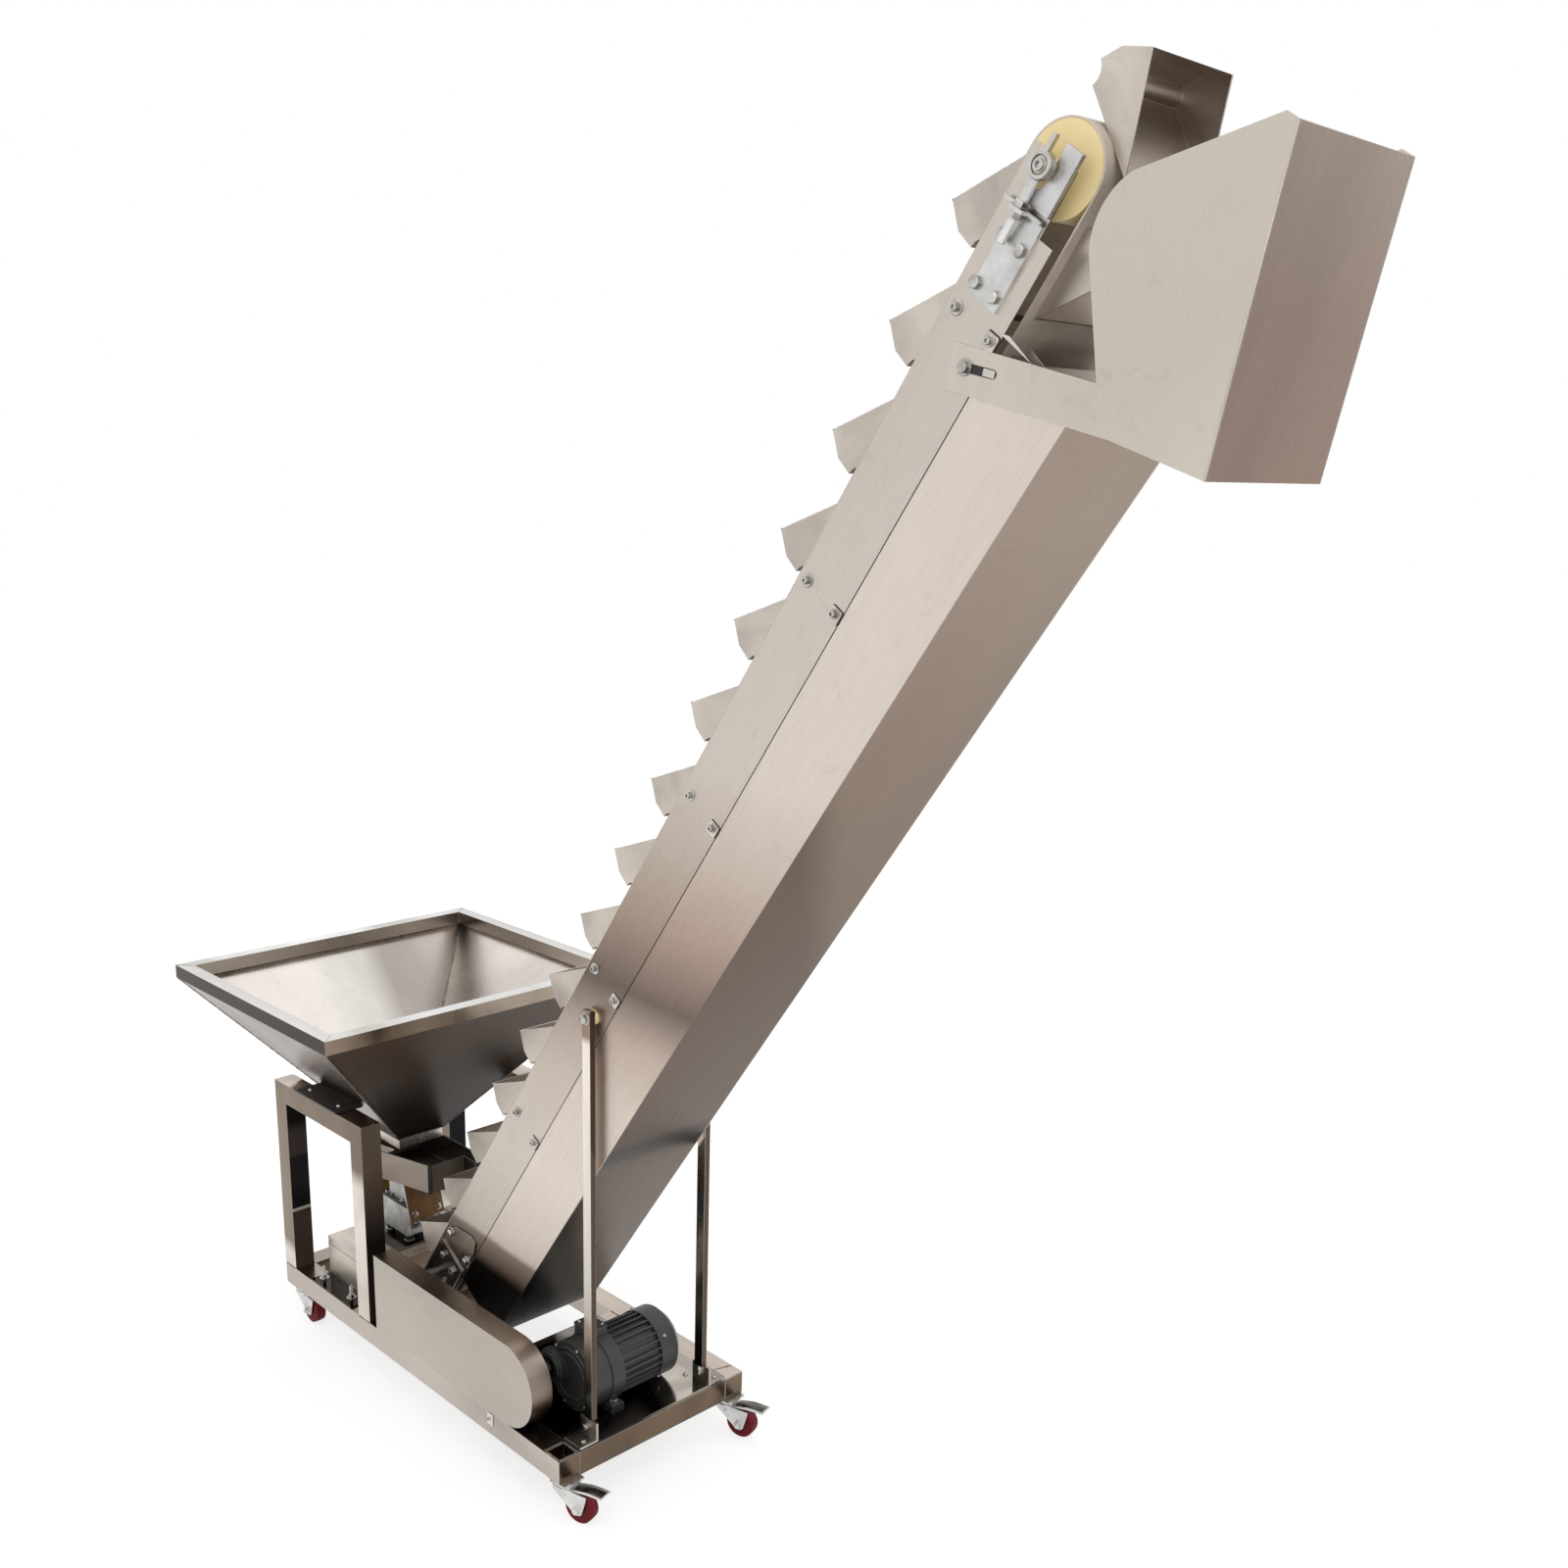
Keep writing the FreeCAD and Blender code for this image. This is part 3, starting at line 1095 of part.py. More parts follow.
for item in doc.Objects:
    if "Invalid" in item.State or "Error" in item.State:
        raise RuntimeError(f"{item.Label} has failed: {item.State}")
for label, item in sub_parts.items():
    if item.Shape.isNull() or not item.Shape.isValid():
        raise RuntimeError(f"{label} has no valid shape")
os.makedirs("parts", exist_ok=True)
for label, item in sub_parts.items():
    item.Shape.exportStep(f"parts/{label}.step")
    print(f"{label:26s} {len(item.Shape.Solids):3d} {item.Shape.Volume:12.0f}", item.Shape.BoundBox)
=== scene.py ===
"""Bucket elevator: materials, fittings and studio over the frame made in CAD."""
import math

import bmesh
import bpy
from bpy.props import FloatProperty, IntProperty, PointerProperty
from mathutils import Matrix, Vector, noise


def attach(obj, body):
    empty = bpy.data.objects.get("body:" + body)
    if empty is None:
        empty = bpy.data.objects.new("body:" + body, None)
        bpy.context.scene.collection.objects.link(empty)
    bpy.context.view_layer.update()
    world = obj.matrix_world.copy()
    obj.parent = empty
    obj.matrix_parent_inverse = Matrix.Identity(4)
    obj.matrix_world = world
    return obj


bl_info = {
    "name": "Bucket Elevator",
    "version": (1, 0, 0),
    "blender": (4, 5, 0),
    "location": "View3D > Sidebar > Elevator",
    "description": "Dresses the bucket elevator's frame with materials, fittings and a studio",
    "category": "Object",
}

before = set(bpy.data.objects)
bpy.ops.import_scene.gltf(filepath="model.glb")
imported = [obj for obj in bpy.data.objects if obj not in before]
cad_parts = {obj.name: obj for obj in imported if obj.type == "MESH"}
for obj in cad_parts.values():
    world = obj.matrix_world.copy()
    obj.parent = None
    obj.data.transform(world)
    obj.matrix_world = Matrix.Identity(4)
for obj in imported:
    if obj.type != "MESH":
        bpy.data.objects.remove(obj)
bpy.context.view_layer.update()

BASE_END = -827.795
BASE_TOP = 105.0
BASE_LENGTH = 848
PLATE_TOP = 108
TUBE = 40
RAIL_INSIDE = 154
RAIL_OUTSIDE = 194
STAND_TUBE = 38
PAD_TOP = 481
HOPPER_MIDDLE = 141.5
HOPPER_FOOT = 374
SLOPE = math.radians(55.147)
SLOPE_FOOT = 279.35
CASING_FACE = 106.0
PULLEY_DEPTH = 32.0
HEAD_PLACE = 2139.0
DRIVE_PLACE = 160.05
POINT = 0.02
PALEST = 0.95
WHITE = (1.0, 1.0, 1.0)
UP = Vector((0, 0, 1))
NEAR = Vector((0, -1, 0))
ALONG_BASE = Vector((1, 0, 0))
ACROSS_BASE = Vector((0, 1, 0))
materials = {}


def base(x, y, z):
    """A point in millimetres, measured from the hopper end of the base."""
    return Vector((x + BASE_END, y, z))


def incline(up, y, down):
    """A point by its way up the slope and its depth square below the casing's upper edge."""
    return Vector((SLOPE_FOOT + BASE_END + up * math.cos(SLOPE) + down * math.sin(SLOPE), y,
                   BASE_TOP + up * math.sin(SLOPE) - down * math.cos(SLOPE)))


UP_SLOPE = incline(1, 0, 0) - incline(0, 0, 0)
DOWN_DEPTH = incline(0, 0, 1) - incline(0, 0, 0)


def moved(x, y=0.0, z=0.0):
    return Matrix.Translation((x, y, z))


def turned_by(degrees, axis="Z"):
    return Matrix.Rotation(math.radians(degrees), 4, axis)


def facing(place, out, turn=0.0):
    """The frame of a fitting that stands on a surface, its z axis along out."""
    turned = out.normalized().to_track_quat("Z", "Y").to_matrix().to_4x4()
    return Matrix.Translation(place) @ turned @ Matrix.Rotation(turn, 4, "Z")


def aligned(place, out, along):
    """The frame of a piece that lies on a surface, its z axis along out and its x axis near along."""
    up = out.normalized()
    side = up.cross(along).normalized()
    return Matrix.Translation(place) @ Matrix((side.cross(up), side, up)).transposed().to_4x4()


def circle(radius, height, steps):
    """Points round the z axis."""
    turns = [math.tau * step / steps for step in range(steps)]
    return [(radius * math.cos(turn), radius * math.sin(turn), height) for turn in turns]


def rectangle(length, width, corner=0.0, steps=4):
    """A rectangle round the middle, its corners rounded where asked."""
    signs = ((-1, -1), (1, -1), (1, 1), (-1, 1))
    if not corner:
        return [(x * length / 2, y * width / 2) for x, y in signs]
    points = []
    for quarter, (x, y) in enumerate(signs[1:] + signs[:1]):
        for step in range(steps + 1):
            angle = math.radians(90 * (quarter - 1) + 90 * step / steps)
            points.append((x * (length / 2 - corner) + corner * math.cos(angle),
                           y * (width / 2 - corner) + corner * math.sin(angle)))
    return points


class Form:
    """A mesh under construction, in millimetres."""

    def __init__(self):
        self.mesh = bmesh.new()

    def ring(self, place, points):
        return [self.mesh.verts.new(place @ Vector(point)) for point in points]

    def skin(self, rings):
        for lower, upper in zip(rings, rings[1:]):
            count = len(lower)
            for index in range(count):
                after = (index + 1) % count
                self.mesh.faces.new((lower[index], lower[after], upper[after], upper[index]))

    def solid(self, rings):
        self.skin(rings)
        self.mesh.faces.new(rings[0][::-1])
        self.mesh.faces.new(rings[-1])

    def turned(self, place, profile, steps=20):
        """A turned form: radius and height pairs from its foot to its top."""
        self.solid([self.ring(place, circle(max(radius, POINT), height, steps))
                    for radius, height in profile])

    def loop(self, place, profile, steps=24):
        """A ring with a closed profile of radius and height pairs."""
        rings = [self.ring(place, circle(radius, height, steps)) for radius, height in profile]
        self.skin(rings + rings[:1])

    def block(self, place, length, width, height, corner=0.0, edge=0.4):
        """A block on a surface, its upper edges eased."""
        self.slab(place, rectangle(length, width, corner), 0, height, edge)

    def hexagon(self, place, across, height):
        """A hexagon head or nut, chamfered at its corners."""
        flat = across / 2
        corner = flat / math.cos(math.pi / 6)
        rings = []
        for at_flat, at_corner, level in ((flat, corner, 0.0), (flat, corner, height * 0.74),
                                          (flat, flat * 1.06, height * 0.93),
                                          (flat * 0.93, flat * 0.93, height)):
            pair = (circle(at_flat, level, 12), circle(at_corner, level, 12))
            rings.append(self.ring(place, [pair[step % 2][step] for step in range(12)]))
        self.solid(rings)

    def slab(self, place, outline, low, high, edge=0.4):
        """A flat piece with an outline in its own x and y, its upper edges eased."""
        middle = sum((Vector(point) for point in outline), Vector((0, 0))) / len(outline)
        rings = []
        for level, inset in ((low, 0.0), (high - edge, 0.0), (high, edge)):
            ring = []
            for point in outline:
                away = Vector(point) - middle
                away = away * (1 - inset / max(away.length, 0.01))
                ring.append((*(middle + away), level))
            rings.append(self.ring(place, ring))
        self.solid(rings)

    def bar(self, points, radius, steps=8, ripple=0.0, seed=0):
        """A round bar or a weld bead along points."""
        rings = []
        for index, point in enumerate(points):
            before = points[max(index - 1, 0)]
            after = points[min(index + 1, len(points) - 1)]
            size = radius * (1 + ripple * noise.noise(Vector((index * 0.9, seed * 7.3, 0.5))))
            if ripple and index in (0, len(points) - 1):
                size *= 0.35
            rings.append(self.ring(facing(point, after - before), circle(size, 0, steps)))
        self.solid(rings)

    def bead(self, start, end, radius, seed):
        count = max(int((end - start).length / 2.2), 3)
        self.bar([start.lerp(end, step / count) for step in range(count + 1)], radius, 6, 0.5, seed)

    def beads(self, lines, first):
        """Weld beads by their start, end and radius."""
        for seed, line in enumerate(lines, first):
            self.bead(*line, seed)

    def save(self, name, slot, look, body="frame", angle=35):
        """Puts the mesh in the scene as a piece of the object."""
        for vertex in self.mesh.verts:
            vertex.co *= 0.001
        bmesh.ops.recalc_face_normals(self.mesh, faces=self.mesh.faces)
        data = bpy.data.meshes.new(name)
        self.mesh.to_mesh(data)
        self.mesh.free()
        data.shade_smooth()
        data.set_sharp_from_angle(angle=math.radians(angle))
        data.materials.append(materials[look])
        piece = bpy.data.objects.new(name, data)
        bpy.context.collection.objects.link(piece)
        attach(piece, body)


def washer(form, place, radius=9.0, thickness=1.4):
    form.turned(place, [(radius, 0), (radius, thickness * 0.7), (radius - 0.5, thickness)])
    return place @ moved(0, 0, thickness)


def socket_screw(form, place, radius=5.0, height=5.0):
    """A round head with a socket in its top."""
    form.turned(place, [(radius * 0.96, 0), (radius, 0.4), (radius, height * 0.8), (radius * 0.86, height),
                        (radius * 0.5, height), (radius * 0.48, height * 0.5), (0, height * 0.4)], 16)


def button_screw(form, place, radius=5.0):
    form.turned(place, [(radius, 0), (radius * 0.98, 0.7), (radius * 0.8, 2.1), (radius * 0.45, 2.8),
                        (radius * 0.42, 1.6), (0, 1.4)], 16)


def hex_bolt(form, place, across, height, plate):
    form.hexagon(washer(form, place, plate), across, height)


def stud(form, place, radius=3.0, height=22.0, nut=10.0, plate=9.0):
    """A threaded stud with its washer and nut."""
    on_washer = washer(form, place, plate)
    form.hexagon(on_washer, nut, 5.0)
    profile = [(radius, 0)]
    level = 5.0
    while level < height - 1.2:
        profile += [(radius, level), (radius * 0.84, level + 0.5)]
        level += 1.0
    form.turned(on_washer, profile + [(radius, height - 1), (radius * 0.7, height)], 12)


def shades(tone, cloud, more=1.0):
    """A tone's darker and paler ends."""
    return (tuple(value * (1 - cloud) for value in tone),
            tuple(min(value * (1 + cloud * more), PALEST) for value in tone))


class Look:
    """A material under construction."""

    def __init__(self, name):
        material = bpy.data.materials.new(name)
        material.use_nodes = True
        self.tree = material.node_tree
        self.tree.nodes.clear()
        self.shader = self.add("BsdfPrincipled")
        self.add("OutputMaterial", {0: self.shader.outputs[0]})
        self.place = self.add("TexCoord").outputs["Object"]
        materials[name] = material

    def add(self, kind, inputs=(), **settings):
        node = self.tree.nodes.new(f"ShaderNode{kind}")
        for name, value in settings.items():
            setattr(node, name, value)
        for name, value in dict(inputs).items():
            self.put(node, name, value)
        return node

    def put(self, node, name, value):
        if isinstance(value, bpy.types.NodeSocket):
            self.tree.links.new(value, node.inputs[name])
        else:
            node.inputs[name].default_value = value

    def noise(self, scale, stretch=(1, 1, 1), turn=0.0, detail=3.0, rough=0.55, bend=0.0):
        place = self.place
        if turn:
            place = self.add("Mapping", {"Vector": place, "Rotation": (0, turn, 0)}).outputs[0]
        place = self.add("Mapping", {"Vector": place, "Scale": stretch}).outputs[0]
        return self.add("TexNoise", {"Vector": place, "Scale": scale, "Detail": detail, "Roughness": rough,
                                     "Distortion": bend}).outputs["Fac"]

    def span(self, value, low, high, to_low=0.0, to_high=1.0, smooth=False):
        limits = {"Value": value, "From Min": low, "From Max": high, "To Min": to_low, "To Max": to_high}
        kind = "SMOOTHSTEP" if smooth else "LINEAR"
        return self.add("MapRange", limits, interpolation_type=kind).outputs[0]

    def math(self, operation, first, second=0.0):
        return self.add("Math", {0: first, 1: second}, operation=operation).outputs[0]

    def mix(self, factor, first, second, blend="MIX"):
        node = self.add("Mix", {0: factor}, data_type="RGBA", blend_type=blend)
        for index, value in ((6, first), (7, second)):
            if isinstance(value, tuple):
                value = (*value, 1.0)
            self.put(node, index, value)
        return node.outputs[2]

    def between(self, value, dark, light, low=0.35, high=0.65):
        """Dark where a noise is low, light where it is high."""
        return self.mix(self.span(value, low, high), dark, light)

    def ramp(self, value, stops):
        """A colour for each value, in metres or as a share, straight between the stops."""
        low, high = stops[0][0], stops[-1][0]
        node = self.add("ValToRGB", {0: self.span(value, low, high)})
        points = node.color_ramp.elements
        while len(points) < len(stops):
            points.new(0.5)
        for point, (place, colour) in zip(points, stops):
            point.position = (place - low) / (high - low)
            point.color = (*colour, 1.0)
        return node.outputs[0]

    def own(self):
        return self.shader.inputs["Base Color"].links[0].from_socket

    def lay(self, where, colour):
        """Lays a colour over the surface's own where asked."""
        self.put(self.shader, "Base Color", self.mix(where, self.own(), colour))

    def tint(self, shade):
        """Multiplies the surface's own colour by a shade."""
        self.put(self.shader, "Base Color", self.mix(1.0, self.own(), shade, "MULTIPLY"))

    def dull(self, where, colour):
        """Where asked, lays a painted colour for shade and reflection, and the metal mirrors little."""
        self.lay(where, colour)
        self.put(self.shader, "Metallic", self.span(where, 0.0, 1.0, 1.0, 0.2))
        self.put(self.shader, "Specular IOR Level", self.span(where, 0.0, 1.0, 0.5, 0.1))

    def place_parts(self):
        return self.add("SeparateXYZ", {0: self.place}).outputs

    def normal(self):
        return self.add("NewGeometry").outputs["Normal"]

    def normal_parts(self):
        return self.add("SeparateXYZ", {0: self.normal()}).outputs

    def flatness(self, radius):
        """One on a flat surface and less where an edge is within the radius."""
        soft = self.add("Bevel", {"Radius": radius}, samples=4).outputs[0]
        return self.add("VectorMath", {0: soft, 1: self.normal()}, operation="DOT_PRODUCT").outputs["Value"]

    def finish(self, colour, rough, height, depth, soft=0.0):
        bump = self.add("Bump", {"Height": height, "Distance": depth, "Strength": 0.6})
        if soft:
            self.put(bump, "Normal", self.add("Bevel", {"Radius": soft}, samples=4).outputs[0])
        for name, value in (("Base Color", colour), ("Roughness", rough), ("Normal", bump.outputs[0])):
            self.put(self.shader, name, value)


BRUSHED = {"x": ((0.03, 1, 1), 0.0), "y": ((1, 0.03, 1), 0.0), "z": ((1, 1, 0.03), 0.0),
           "slope": ((0.03, 1, 1), SLOPE), "none": ((1, 1, 1), 0.0)}


def steel(name, side, end=None, under=None, top=None, rough=(0.26, 0.42), along="x", cloud=0.2, grain=0.08,
          edge=0.35, soft=0.0008, cloud_scale=5.0):
    """Sheet or tube: painted light and shade as a tone for each way it faces, slow clouds, brushing, and
    bright edges that are painted highlight and edge wear.
    """
    look = Look(name)
    stretch, turn = BRUSHED[along]
    slow_stretch = tuple(0.25 if value < 1 else 1 for value in stretch)
    slow = look.noise(cloud_scale, slow_stretch, turn, 4.0, 0.5, 0.6)
    fine = look.noise(700.0, stretch, turn, 2.0)
    stain = look.noise(23.0, detail=5.0, rough=0.65, bend=1.2)
    across, _, upward = look.normal_parts()
    colour = look.between(slow, *shades(side, cloud), 0.36, 0.66)
    # Painted light and shade: the end, top and under tones tint the faces by the way they face.
    for tone, way, low, high, more in ((end, across, 0.35, 0.9, 1.5), (top, upward, 0.5, 0.9, 1.5),
                                       (under, upward, -0.15, -0.5, 2.0)):
        if tone:
            shade = look.between(slow, *shades(tone, cloud, more), 0.34, 0.68)
            colour = look.mix(look.span(way, low, high), colour, shade)
    colour = look.mix(look.span(fine, 0.3, 0.7, 0.0, grain), colour, (0.12, 0.1, 0.09))
    colour = look.mix(look.span(stain, 0.58, 0.78, 0.0, 0.16), colour, (0.2, 0.16, 0.13))
    # Bright edges: painted highlight and edge wear.
    if edge:
        edge_wear_and_highlight = look.span(look.flatness(0.0016), 0.985, 0.8, 0.0, edge)
        colour = look.mix(edge_wear_and_highlight, colour, (0.88, 0.85, 0.8))
    look.shader.inputs["Metallic"].default_value = 1.0
    roughness = look.math("ADD", look.span(slow, 0.3, 0.7, *rough), look.span(fine, 0.3, 0.7, -0.04, 0.05))
    look.finish(colour, roughness, fine, 0.00003, soft)
    return look


def plain(name, dark, light, rough=(0.4, 0.6), scale=60.0, depth=0.0001, wear=None):
    """Paint, plastic or rubber: two tones in clouds, dust on top and wear at the edges."""
    look = Look(name)
    slow = look.noise(scale * 0.2, detail=4.0)
    fine = look.noise(scale * 12)
    upward = look.normal_parts()[2]
    colour = look.between(slow, dark, light, 0.35, 0.68)
    dust = look.math("MULTIPLY", look.span(upward, 0.3, 1.0), look.span(fine, 0.4, 0.7, 0.02, 0.14))
    colour = look.mix(dust, colour, (0.45, 0.42, 0.38))
    if wear:
        edge_wear_and_highlight = look.span(look.flatness(0.0012), 0.98, 0.75)
        colour = look.mix(look.math("MULTIPLY", edge_wear_and_highlight, look.span(fine, 0.42, 0.6, 0.1, 0.8)), colour, wear)
    look.finish(colour, look.span(fine, 0.3, 0.7, *rough), fine, depth, 0.0006)
    return look


def zinc(name, dark, light, rough):
    """Zinc plate: a spangle of small crystals over slow clouds."""
    look = Look(name)
    slow = look.noise(30.0, detail=4.0)
    crystals = look.add("TexVoronoi", {"Vector": look.place, "Scale": 260.0}).outputs["Color"]
    crystal = look.add("SeparateColor", {0: crystals}).outputs[0]
    colour = look.between(slow, dark, light, 0.32, 0.66)
    colour = look.mix(look.span(crystal, 0.0, 1.0, 0.0, 0.22), colour, (0.9, 0.9, 0.88))
    look.shader.inputs["Metallic"].default_value = 1.0
    look.finish(colour, look.span(crystal, 0.0, 1.0, *rough), look.noise(900.0), 0.00004, 0.0008)


class StageSizes(bpy.types.PropertyGroup):
    lens: FloatProperty(name="Lens", description="Focal length of the camera", default=36.035, unit="CAMERA")
    shift_right: FloatProperty(name="Shift Right", description="Sideways shift of the frame", default=0.0491)
    shift_up: FloatProperty(name="Shift Up", description="Upward shift of the camera's frame", default=0.0919)
    yaw: FloatProperty(name="Yaw", description="Turn of the camera about the vertical",
                       default=math.radians(46.999), subtype="ANGLE")
    pitch: FloatProperty(name="Pitch", description="Tilt of the camera", default=math.radians(-15.988),
                         subtype="ANGLE")
    roll: FloatProperty(name="Roll", description="Roll of the camera", default=math.radians(0.924),
                        subtype="ANGLE")
    key: FloatProperty(name="Key", description="Power of the main lamp", default=13.0, unit="POWER")
    fill: FloatProperty(name="Fill", description="Power of the other lamps", default=6.0, unit="POWER")
    room: FloatProperty(name="Room", description="Strength of the room on dull surfaces", default=1.0)


class FittingSizes(bpy.types.PropertyGroup):
    screw_first: FloatProperty(name="First Screw", description="Way up to the highest casing screw",
                               default=1982.35)
    screw_pitch: FloatProperty(name="Screw Pitch", description="Distance between the casing screws",
                               default=345.4)
    seam_first: FloatProperty(name="First Seam Screw", description="Way up to the highest seam screw",
                              default=1980.3)
    seam_pitch: FloatProperty(name="Seam Pitch", description="Distance between the seam screws",
                              default=346.0)
    screw_count: IntProperty(name="Screws", description="Screws in each row of the casing", default=6)
    seam_depth: FloatProperty(name="Seam", description="Casing's upper edge to the seam", default=81.4)
    bucket_first: FloatProperty(name="First Bucket", description="Way up to the highest bucket's lip",
                                default=2048.9)
    bucket_pitch: FloatProperty(name="Bucket Pitch", description="Distance between the buckets",
                                default=137.2)
    bucket_count: IntProperty(name="Buckets", description="Buckets on the belt's upper run", default=15)


class Making:
    """What the operators share."""

    bl_options = {"REGISTER", "UNDO"}

    @property
    def fittings(self):
        return bpy.context.scene.elevator_fittings

    @property
    def studio(self):
        return bpy.context.scene.elevator_stage


class ELEVATOR_OT_looks(Making, bpy.types.Operator):
    """Makes every material and gives the frame's nodes theirs"""

    bl_idname = "elevator.looks"
    bl_label = "Materials"

    def execute(self, context):
        self.sheets()
        self.tubes()
        self.fitting_looks()
        self.paints()
        self.dress()
        return {"FINISHED"}

    def sheets(self):
        look = steel("casing_sheet", (0.64, 0.58, 0.525), (0.3, 0.24, 0.2), (0.2, 0.15, 0.12),
                     (0.6, 0.55, 0.5), along="slope", cloud=0.07, cloud_scale=3.0)
        # Painted reflection: bands tinted up the slope.
        look.tint(look.ramp(self.slope_way(look), self.MIRRORED[1:]))
        look = steel("channel_sheet", (0.73, 0.655, 0.593), (0.4, 0.33, 0.28), along="slope", cloud=0.07,
                     cloud_scale=2.4)
        # Painted reflection: bands tinted up the slope.
        look.tint(look.ramp(self.slope_way(look), self.MIRRORED))
        self.channel_floor()
        steel("guard_sheet", (0.505, 0.458, 0.405), (0.27, 0.215, 0.175), (0.1, 0.08, 0.06), (0.6, 0.5, 0.42),
              cloud=0.13, cloud_scale=4.0)
        steel("hood_sheet", (0.68, 0.615, 0.545), (0.262, 0.195, 0.17), (0.12, 0.09, 0.07), (0.5, 0.45, 0.4),
              along="z", cloud=0.12, cloud_scale=3.0, grain=0.03)
        self.hood_front()
        self.hopper_sheet()
        steel("bucket_sheet", (0.58, 0.525, 0.47), (0.42, 0.36, 0.31), (0.36, 0.3, 0.26), (0.62, 0.58, 0.54),
              along="y", cloud=0.18, cloud_scale=9.0)
        steel("box_sheet", (0.74, 0.67, 0.6), (0.25, 0.225, 0.2), None, (0.64, 0.575, 0.52), cloud=0.25,
              cloud_scale=7.0)
        look = steel("tray_sheet", (0.27, 0.228, 0.19), (0.05, 0.045, 0.04), (0.06, 0.05, 0.04),
                     (0.05, 0.042, 0.036), cloud=0.25, cloud_scale=8.0)
        # Painted shade: faces that look towards the motor end get a dark cloudy colour and mirror little.
        painted_side_shade = look.between(look.noise(12.0), (0.07, 0.06, 0.05), (0.16, 0.135, 0.11))
        look.dull(look.span(look.normal_parts()[0], 0.4, 0.6), painted_side_shade)
        steel("tab_sheet", (0.66, 0.61, 0.56), (0.5, 0.44, 0.4), None, (0.6, 0.56, 0.5), along="slope",
              cloud=0.15, cloud_scale=20.0)

    def tubes(self):
        self.rim_tube()
        self.stand_tube()
        self.post_tube()
        self.mirror_plate()
        steel("rail_tube", (0.5, 0.45, 0.4), (0.15, 0.108, 0.075), (0.08, 0.06, 0.05), (0.45, 0.39, 0.34),
              (0.14, 0.28), cloud=0.26)
        steel("bearing_plate", (0.27, 0.245, 0.22), (0.3, 0.26, 0.23), None, (0.4, 0.36, 0.33), (0.16, 0.3),
              "slope", 0.45, cloud_scale=14.0)
        steel("foot_bracket", (0.52, 0.48, 0.44), (0.4, 0.36, 0.32), None, (0.3, 0.265, 0.235), (0.2, 0.34),
              "z", 0.25, cloud_scale=12.0, edge=0.04)
        steel("table_sheet", (0.3, 0.26, 0.23), (0.2, 0.16, 0.13), None, (0.085, 0.074, 0.066), (0.12, 0.24),
              cloud=0.4, cloud_scale=6.0)

    def fitting_looks(self):
        steel("bright_steel", (0.55, 0.54, 0.52), (0.4, 0.38, 0.36), (0.2, 0.18, 0.16), None, (0.15, 0.3),
              "none", 0.25, cloud_scale=40.0, edge=0.0, soft=0.0)
        steel("weld_bead", (0.3, 0.25, 0.21), None, None, None, (0.3, 0.5), "none", 0.45, cloud_scale=120.0,
              edge=0.0, soft=0.0)
        # Painted shade: the drive pulley gets a dark grey steel where it lies in shade.
        steel("drive_pulley_painted_shade", (0.24, 0.22, 0.21), (0.2, 0.18, 0.17), (0.1, 0.09, 0.08), (0.3, 0.28, 0.26),
              (0.35, 0.5), "none", 0.3, cloud_scale=50.0, edge=0.2, soft=0.0)
        steel("pedal_steel", (0.4, 0.38, 0.35), (0.3, 0.28, 0.26), None, (0.09, 0.08, 0.07), (0.18, 0.3),
              "none", 0.4, cloud_scale=60.0, edge=0.2, soft=0.0)
        zinc("zinc_plate", (0.5, 0.5, 0.495), (0.7, 0.7, 0.69), (0.28, 0.45))
        zinc("cast_block", (0.42, 0.42, 0.41), (0.66, 0.66, 0.64), (0.45, 0.65))

    def paints(self):
        plain("motor_paint", (0.02, 0.0215, 0.022), (0.034, 0.0355, 0.036), (0.35, 0.5),
              wear=(0.16, 0.16, 0.15))
        plain("black_paint", (0.012, 0.011, 0.011), (0.03, 0.027, 0.025), (0.25, 0.4), 50.0,
              wear=(0.1, 0.09, 0.08))
        plain("rubber_black", (0.012, 0.012, 0.012), (0.03, 0.029, 0.028), (0.6, 0.8), 80.0)
        plain("spring_laminate", (0.16, 0.075, 0.014), (0.3, 0.15, 0.03), (0.3, 0.45), 90.0,
              wear=(0.5, 0.35, 0.12))
        plain("nylon", (0.8, 0.64, 0.32), (0.9, 0.77, 0.43), (0.35, 0.5), 30.0, wear=(0.88, 0.8, 0.6))
        plain("belt_surface", (0.56, 0.49, 0.42), (0.68, 0.6, 0.52), (0.55, 0.75), 70.0, 0.0002,
              (0.9, 0.84, 0.74))
        look = plain("tread_red", (0.1, 0.001, 0.005), (0.16, 0.003, 0.01), (0.5, 0.7),
                     wear=(0.16, 0.05, 0.05))
        look.shader.inputs["Specular IOR Level"].default_value = 0.2

    def hood_front(self):
        """The hood's front, in painted shade: brown with paler streaks outside, lighter towards the top as
        painted light, and nearly black inside the mouth as painted shade.
        """
        look = steel("hood_front_sheet", (0.3, 0.235, 0.2), (0.29, 0.225, 0.19), None, (0.4, 0.34, 0.3),
                     along="z", cloud_scale=4.0, grain=0.1)
        look.tint(look.ramp(look.place_parts()[2], ((1.56, (0.86, 0.8, 0.76)), (1.7, (0.9, 0.86, 0.84)),
                                                    (1.85, (1.16, 1.2, 1.2)))))
        look.lay(look.span(look.normal_parts()[0], -0.3, -0.6), (0.006, 0.0045, 0.004))

    # Painted reflection: tints for the dark and pale bands, by the way up the slope in metres.
    MIRRORED = ((0.215, (0.012, 0.01, 0.009)), (0.24, (0.27, 0.235, 0.215)), (0.282, (0.36, 0.325, 0.305)),
                (0.292, (0.86, 0.85, 0.84)), (0.5, WHITE), (0.7, (0.92, 0.9, 0.87)),
                (0.83, (0.72, 0.66, 0.62)),
                (0.925, (0.25, 0.21, 0.19)), (1.06, (0.6, 0.51, 0.46)), (1.18, (0.78, 0.74, 0.7)),
                (1.34, (0.97, 0.97, 0.97)), (1.9, WHITE))

